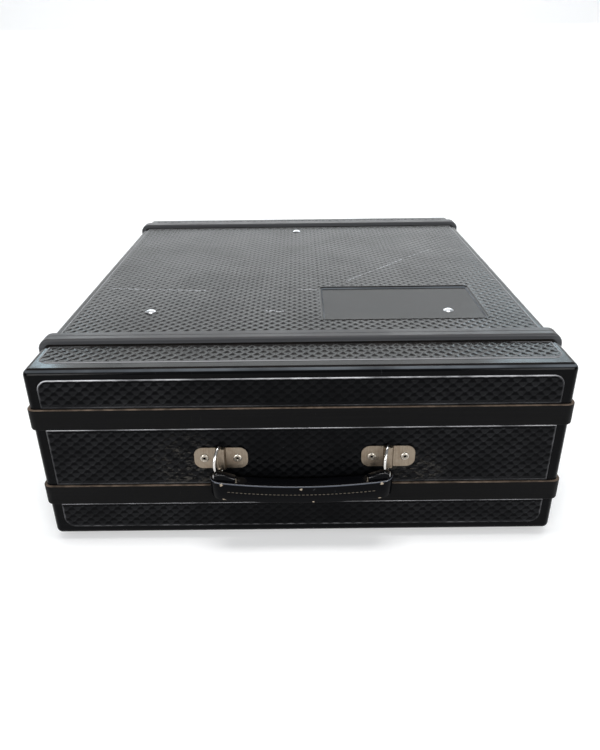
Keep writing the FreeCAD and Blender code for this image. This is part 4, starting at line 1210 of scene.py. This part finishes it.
def build_finishes():
    """Makes every effect group and material."""
    scratches_group()
    dust_group()
    haze_group()
    brushed_group()
    c = colours()
    case = Case()
    brown = (0.16, 0.11, 0.07)
    made = {
        "case_plastic": case_plastic("case_plastic", False),
        "panel_plastic": case_plastic("panel_plastic", True),
        "marked_panel_plastic": case_plastic("marked_panel_plastic", True, top_marks(case)),
        # The wall panels' material, with painted light on its slopes and a painted highlight on its rims.
        "ridged_panel_plastic": case_plastic("ridged_panel_plastic", True, (), True),
        "valance_plastic": satin_plastic("valance_plastic", c.valance, 0.30, 0.42, 0.06, (6.0, 900.0, 900.0)),
        "strip_plastic": satin_plastic("strip_plastic", c.strip, 0.36, 0.52, 0.85, (9.0, 9.0, 700.0), 1.14),
        "gasket_rubber": satin_plastic("gasket_rubber", (0.02, 0.02, 0.02), 0.6, 0.8, 0.1, (60.0, 60.0, 60.0)),
        "rail_black": satin_plastic("rail_black", (0.02, 0.02, 0.021), 0.4, 0.55, 0.1, (300.0, 300.0, 300.0)),
        "bolt_black": metal("bolt_black", (0.05, 0.05, 0.052), 0.35, 0.5, (500.0, 500.0, 500.0), 0.2, brown),
        "brace_aluminium": metal("brace_aluminium", c.aluminium, 0.3, 0.5, (8.0, 900.0, 900.0), 0.1, brown),
        "rivet_aluminium": metal(
            "rivet_aluminium", c.aluminium, 0.22, 0.40, (700.0, 700.0, 700.0), 0.35, (0.25, 0.25, 0.26)),
        "rivet_nickel": metal("rivet_nickel", (0.52, 0.48, 0.42), 0.22, 0.34, (600.0, 600.0, 600.0), 0.3, brown),
        "plate_nickel": metal("plate_nickel", c.nickel, 0.26, 0.46, (1500.0, 900.0, 45.0), 0.55, (0.19, 0.14, 0.10)),
        "bright_wire": metal("bright_wire", c.bright, 0.08, 0.2, (900.0, 900.0, 900.0), 0.25, brown),
        "latch_nickel": metal("latch_nickel", c.latch, 0.22, 0.38, (400.0, 25.0, 1200.0), 0.35, brown),
        "core_steel": metal("core_steel", (0.5, 0.5, 0.5), 0.3, 0.4, (30.0, 900.0, 900.0), 0.2, brown),
        "grip_leather": grip_leathercloth("grip_leathercloth", 0.5),
        "tab_leather": grip_leathercloth("tab_leathercloth", 0.0),
        "tan_thread": thread("tan_thread", c.thread),
        "dark_thread": thread("dark_thread", [0.6 * part for part in c.thread]),
    }
    Finishes.made = made
    return made


def floor_material():
    """A plain pale floor that keeps the case's shadow."""
    material, tree, shader, position = new_material("studio_floor")
    shade = ramp(tree, noise(tree, position, 3.0), 0.3, 0.7, 0.0, 0.02)
    tone = colours().floor
    tree.links.new(blend_colours(tree, shade, tone, [0.97 * part for part in tone]), shader.inputs["Base Color"])
    shader.inputs["Roughness"].default_value = 1.0
    shader.inputs["Specular IOR Level"].default_value = 0.0
    path = add_node(tree, "ShaderNodeLightPath").outputs
    seen = strongest(tree, [path[ray] for ray in ("Is Camera Ray", "Is Glossy Ray", "Is Transmission Ray")])
    glow = add_node(
        tree, "ShaderNodeEmission", {"Color": (1, 1, 1, 1), "Strength": calculate(tree, "MULTIPLY", seen, 0.22)})
    both = add_node(tree, "ShaderNodeAddShader", {0: shader.outputs["BSDF"], 1: glow.outputs["Emission"]})
    tree.links.new(both.outputs[0], tree.nodes["Material Output"].inputs["Surface"])
    return material


def stage_floor():
    """The floor, which curves up into the backdrop behind the case."""
    reach, depth_front, depth_rear, curve, height = 9.0, 7.0, 3.2, 1.0, 2.4
    profile = [(-depth_front, 0.0), (depth_rear - curve, 0.0)]
    for i in range(1, 13):
        angle = math.pi / 2 * i / 12
        profile.append((depth_rear - curve + curve * math.sin(angle), curve - curve * math.cos(angle)))
    profile.append((depth_rear, height))
    points = []
    for x in (-reach, reach):
        points += [(x, y, z) for y, z in profile]
    count = len(profile)
    faces = [(i, i + 1, count + i + 1, count + i) for i in range(count - 1)]
    mesh = bpy.data.meshes.new("studio_floor")
    mesh.from_pydata(points, [], faces)
    mesh.shade_smooth()
    floor = bpy.data.objects.new("studio_floor", mesh)
    bpy.context.scene.collection.objects.link(floor)
    mesh.materials.append(floor_material())


def softbox(name, place, aim, width, height, power, tint=(1.0, 1.0, 1.0)):
    """A rectangular soft light that looks at a point."""
    light = bpy.data.lights.new(name, "AREA")
    light.shape = "RECTANGLE"
    light.size = width
    light.size_y = height
    light.energy = power
    light.color = tint
    lamp = bpy.data.objects.new(name, light)
    bpy.context.scene.collection.objects.link(lamp)
    lamp.location = place
    lamp.rotation_euler = (Vector(aim) - Vector(place)).to_track_quat("-Z", "Y").to_euler()
    return lamp


def studio_light():
    """Soft light from above and behind, with a low even fill from the world."""
    cool = (0.93, 0.975, 1.0)
    softbox("rear_low_softbox", (0.0, 3.0, 1.10), (0.0, 0.0, 0.3), 4.6, 1.5, 28.0, cool)
    softbox("rear_high_softbox", (0.0, 2.9, 1.72), (0.0, 0.0, 0.2), 4.6, 0.55, 22.5, cool)
    softbox("upper_softbox", (0.0, 2.4, 2.9), (0.0, 0.0, 0.2), 3.6, 1.6, 20.0)
    softbox("top_softbox", (0.0, -0.3, 3.0), (0.0, -0.1, 0.1), 1.6, 0.5, 40.0)
    softbox("front_left_softbox", (-1.3, -2.3, 0.85), (0.0, 0.0, 0.1), 0.8, 0.9, 34.0)
    softbox("front_right_softbox", (1.3, -2.3, 0.85), (0.0, 0.0, 0.1), 0.8, 0.9, 34.0)
    blue = (0.62, 0.86, 1.0)
    softbox("left_window", (-1.62, 2.75, 1.62), (-0.2, -0.3, 0.2), 0.16, 0.14, 1.4, blue)
    softbox("right_window", (1.45, 2.75, 1.56), (0.2, -0.3, 0.2), 0.5, 0.16, 3.6, blue)
    world = bpy.data.worlds.new("studio")
    bpy.context.scene.world = world
    world.use_nodes = True
    background = world.node_tree.nodes["Background"]
    background.inputs["Color"].default_value = (0.92, 0.96, 1.0, 1.0)
    background.inputs["Strength"].default_value = 0.3


def photo_camera(case):
    """The camera at the photograph's angle."""
    yaw, pitch, roll = math.radians(0.17), math.radians(26.44), math.radians(-0.728)
    turn = Matrix.Rotation(yaw, 3, "Z")
    look = turn @ Vector((0, math.cos(pitch), -math.sin(pitch)))
    up = turn @ Vector((0, math.sin(pitch), math.cos(pitch)))
    right = turn @ Vector((1, 0, 0))
    across = right * math.cos(roll) + up * math.sin(roll)
    upward = up * math.cos(roll) - right * math.sin(roll)
    lens = bpy.data.cameras.new("photo_camera")
    lens.lens = 30.97
    lens.sensor_width = 36.0
    lens.clip_start = 0.01
    camera = bpy.data.objects.new("photo_camera", lens)
    bpy.context.scene.collection.objects.link(camera)
    camera.matrix_world = Matrix((
        (across.x, upward.x, -look.x, 0.0014),
        (across.y, upward.y, -look.y, case.front_face - 0.5772),
        (across.z, upward.z, -look.z, 0.4917),
        (0, 0, 0, 1)))
    bpy.context.scene.camera = camera


class RACKCASE_OT_finishes(bpy.types.Operator):
    """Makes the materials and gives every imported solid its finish"""

    bl_idname = "rack_case.finishes"
    bl_label = "Finishes"

    def execute(self, context):
        finish_cad_nodes(build_finishes())
        return {"FINISHED"}


class RACKCASE_OT_shells(bpy.types.Operator):
    """Builds the body's sleeve with its sunken plate and the two lid trays"""

    bl_idname = "rack_case.shells"
    bl_label = "Shells"

    def execute(self, context):
        case = Case()
        plastic = Finishes.made["case_plastic"]
        body_sleeve(case, plastic)
        for end in END_NAMES:
            lid_tray(case, end, plastic)
        return {"FINISHED"}


class RACKCASE_OT_panels(bpy.types.Operator):
    """Builds the raised panels with their moulded dimples"""

    bl_idname = "rack_case.panels"
    bl_label = "Dimpled panels"

    def execute(self, context):
        all_panels(Case(), Finishes.made["panel_plastic"], Finishes.made["ridged_panel_plastic"])
        marked = bpy.data.objects["body_top_panel"]
        marked.data.materials[0] = Finishes.made["marked_panel_plastic"]
        return {"FINISHED"}


class RACKCASE_OT_strips(bpy.types.Operator):
    """Builds the rub strips on the body and the lids"""

    bl_idname = "rack_case.strips"
    bl_label = "Rub strips"

    def execute(self, context):
        rub_strips(Case(), Finishes.made["strip_plastic"])
        return {"FINISHED"}


class RACKCASE_OT_grip(bpy.types.Operator):
    """Builds the stitched grip with its tabs and threads, and the rivets of its plates"""

    bl_idname = "rack_case.grip"
    bl_label = "Grip"

    def execute(self, context):
        leather = Finishes.made["grip_leather"]
        grip_cover(leather)
        grip_tabs(Finishes.made["tab_leather"])
        grip_stitches(Finishes.made["tan_thread"], Finishes.made["dark_thread"])
        plate_rivets(Case(), Finishes.made["rivet_nickel"], Finishes.made["rail_black"])
        return {"FINISHED"}


class RACKCASE_OT_stage(bpy.types.Operator):
    """Builds the floor, the soft lights and the camera"""

    bl_idname = "rack_case.stage"
    bl_label = "Stage"

    def execute(self, context):
        stage_floor()
        studio_light()
        photo_camera(Case())
        context.scene.view_settings.view_transform = "Standard"
        return {"FINISHED"}


class RACKCASE_PT_sidebar(bpy.types.Panel):
    """The case's pieces and sizes in the sidebar"""

    bl_idname = "RACKCASE_PT_sidebar"
    bl_label = "Rack case"
    bl_space_type = "VIEW_3D"
    bl_region_type = "UI"
    bl_category = "Rack case"

    def draw(self, context):
        for operator in OPERATORS:
            self.layout.operator(operator.bl_idname)
        for settings in (sizes(), handle_sizes(), colours()):
            box = self.layout.box()
            for name in settings.__annotations__:
                box.prop(settings, name)


SETTINGS = (
    ("rack_case_sizes", CaseSizes), ("rack_case_handle", HandleSizes), ("rack_case_colours", Colours))
OPERATORS = (
    RACKCASE_OT_finishes, RACKCASE_OT_shells, RACKCASE_OT_panels, RACKCASE_OT_strips, RACKCASE_OT_grip,
    RACKCASE_OT_stage)


def register():
    """Registers the settings, the operators and the sidebar."""
    for name, settings in SETTINGS:
        bpy.utils.register_class(settings)
        setattr(bpy.types.Scene, name, bpy.props.PointerProperty(type=settings))
    for operator in OPERATORS:
        bpy.utils.register_class(operator)
    bpy.utils.register_class(RACKCASE_PT_sidebar)


def unregister():
    """Takes the settings, the operators and the sidebar away again."""
    bpy.utils.unregister_class(RACKCASE_PT_sidebar)
    for operator in reversed(OPERATORS):
        bpy.utils.unregister_class(operator)
    for name, settings in SETTINGS:
        delattr(bpy.types.Scene, name)
        bpy.utils.unregister_class(settings)


def main():
    """Builds everything in order."""
    register()
    for operator in OPERATORS:
        getattr(bpy.ops.rack_case, operator.bl_idname.split(".")[1])()


if __name__ == "__main__":
    main()
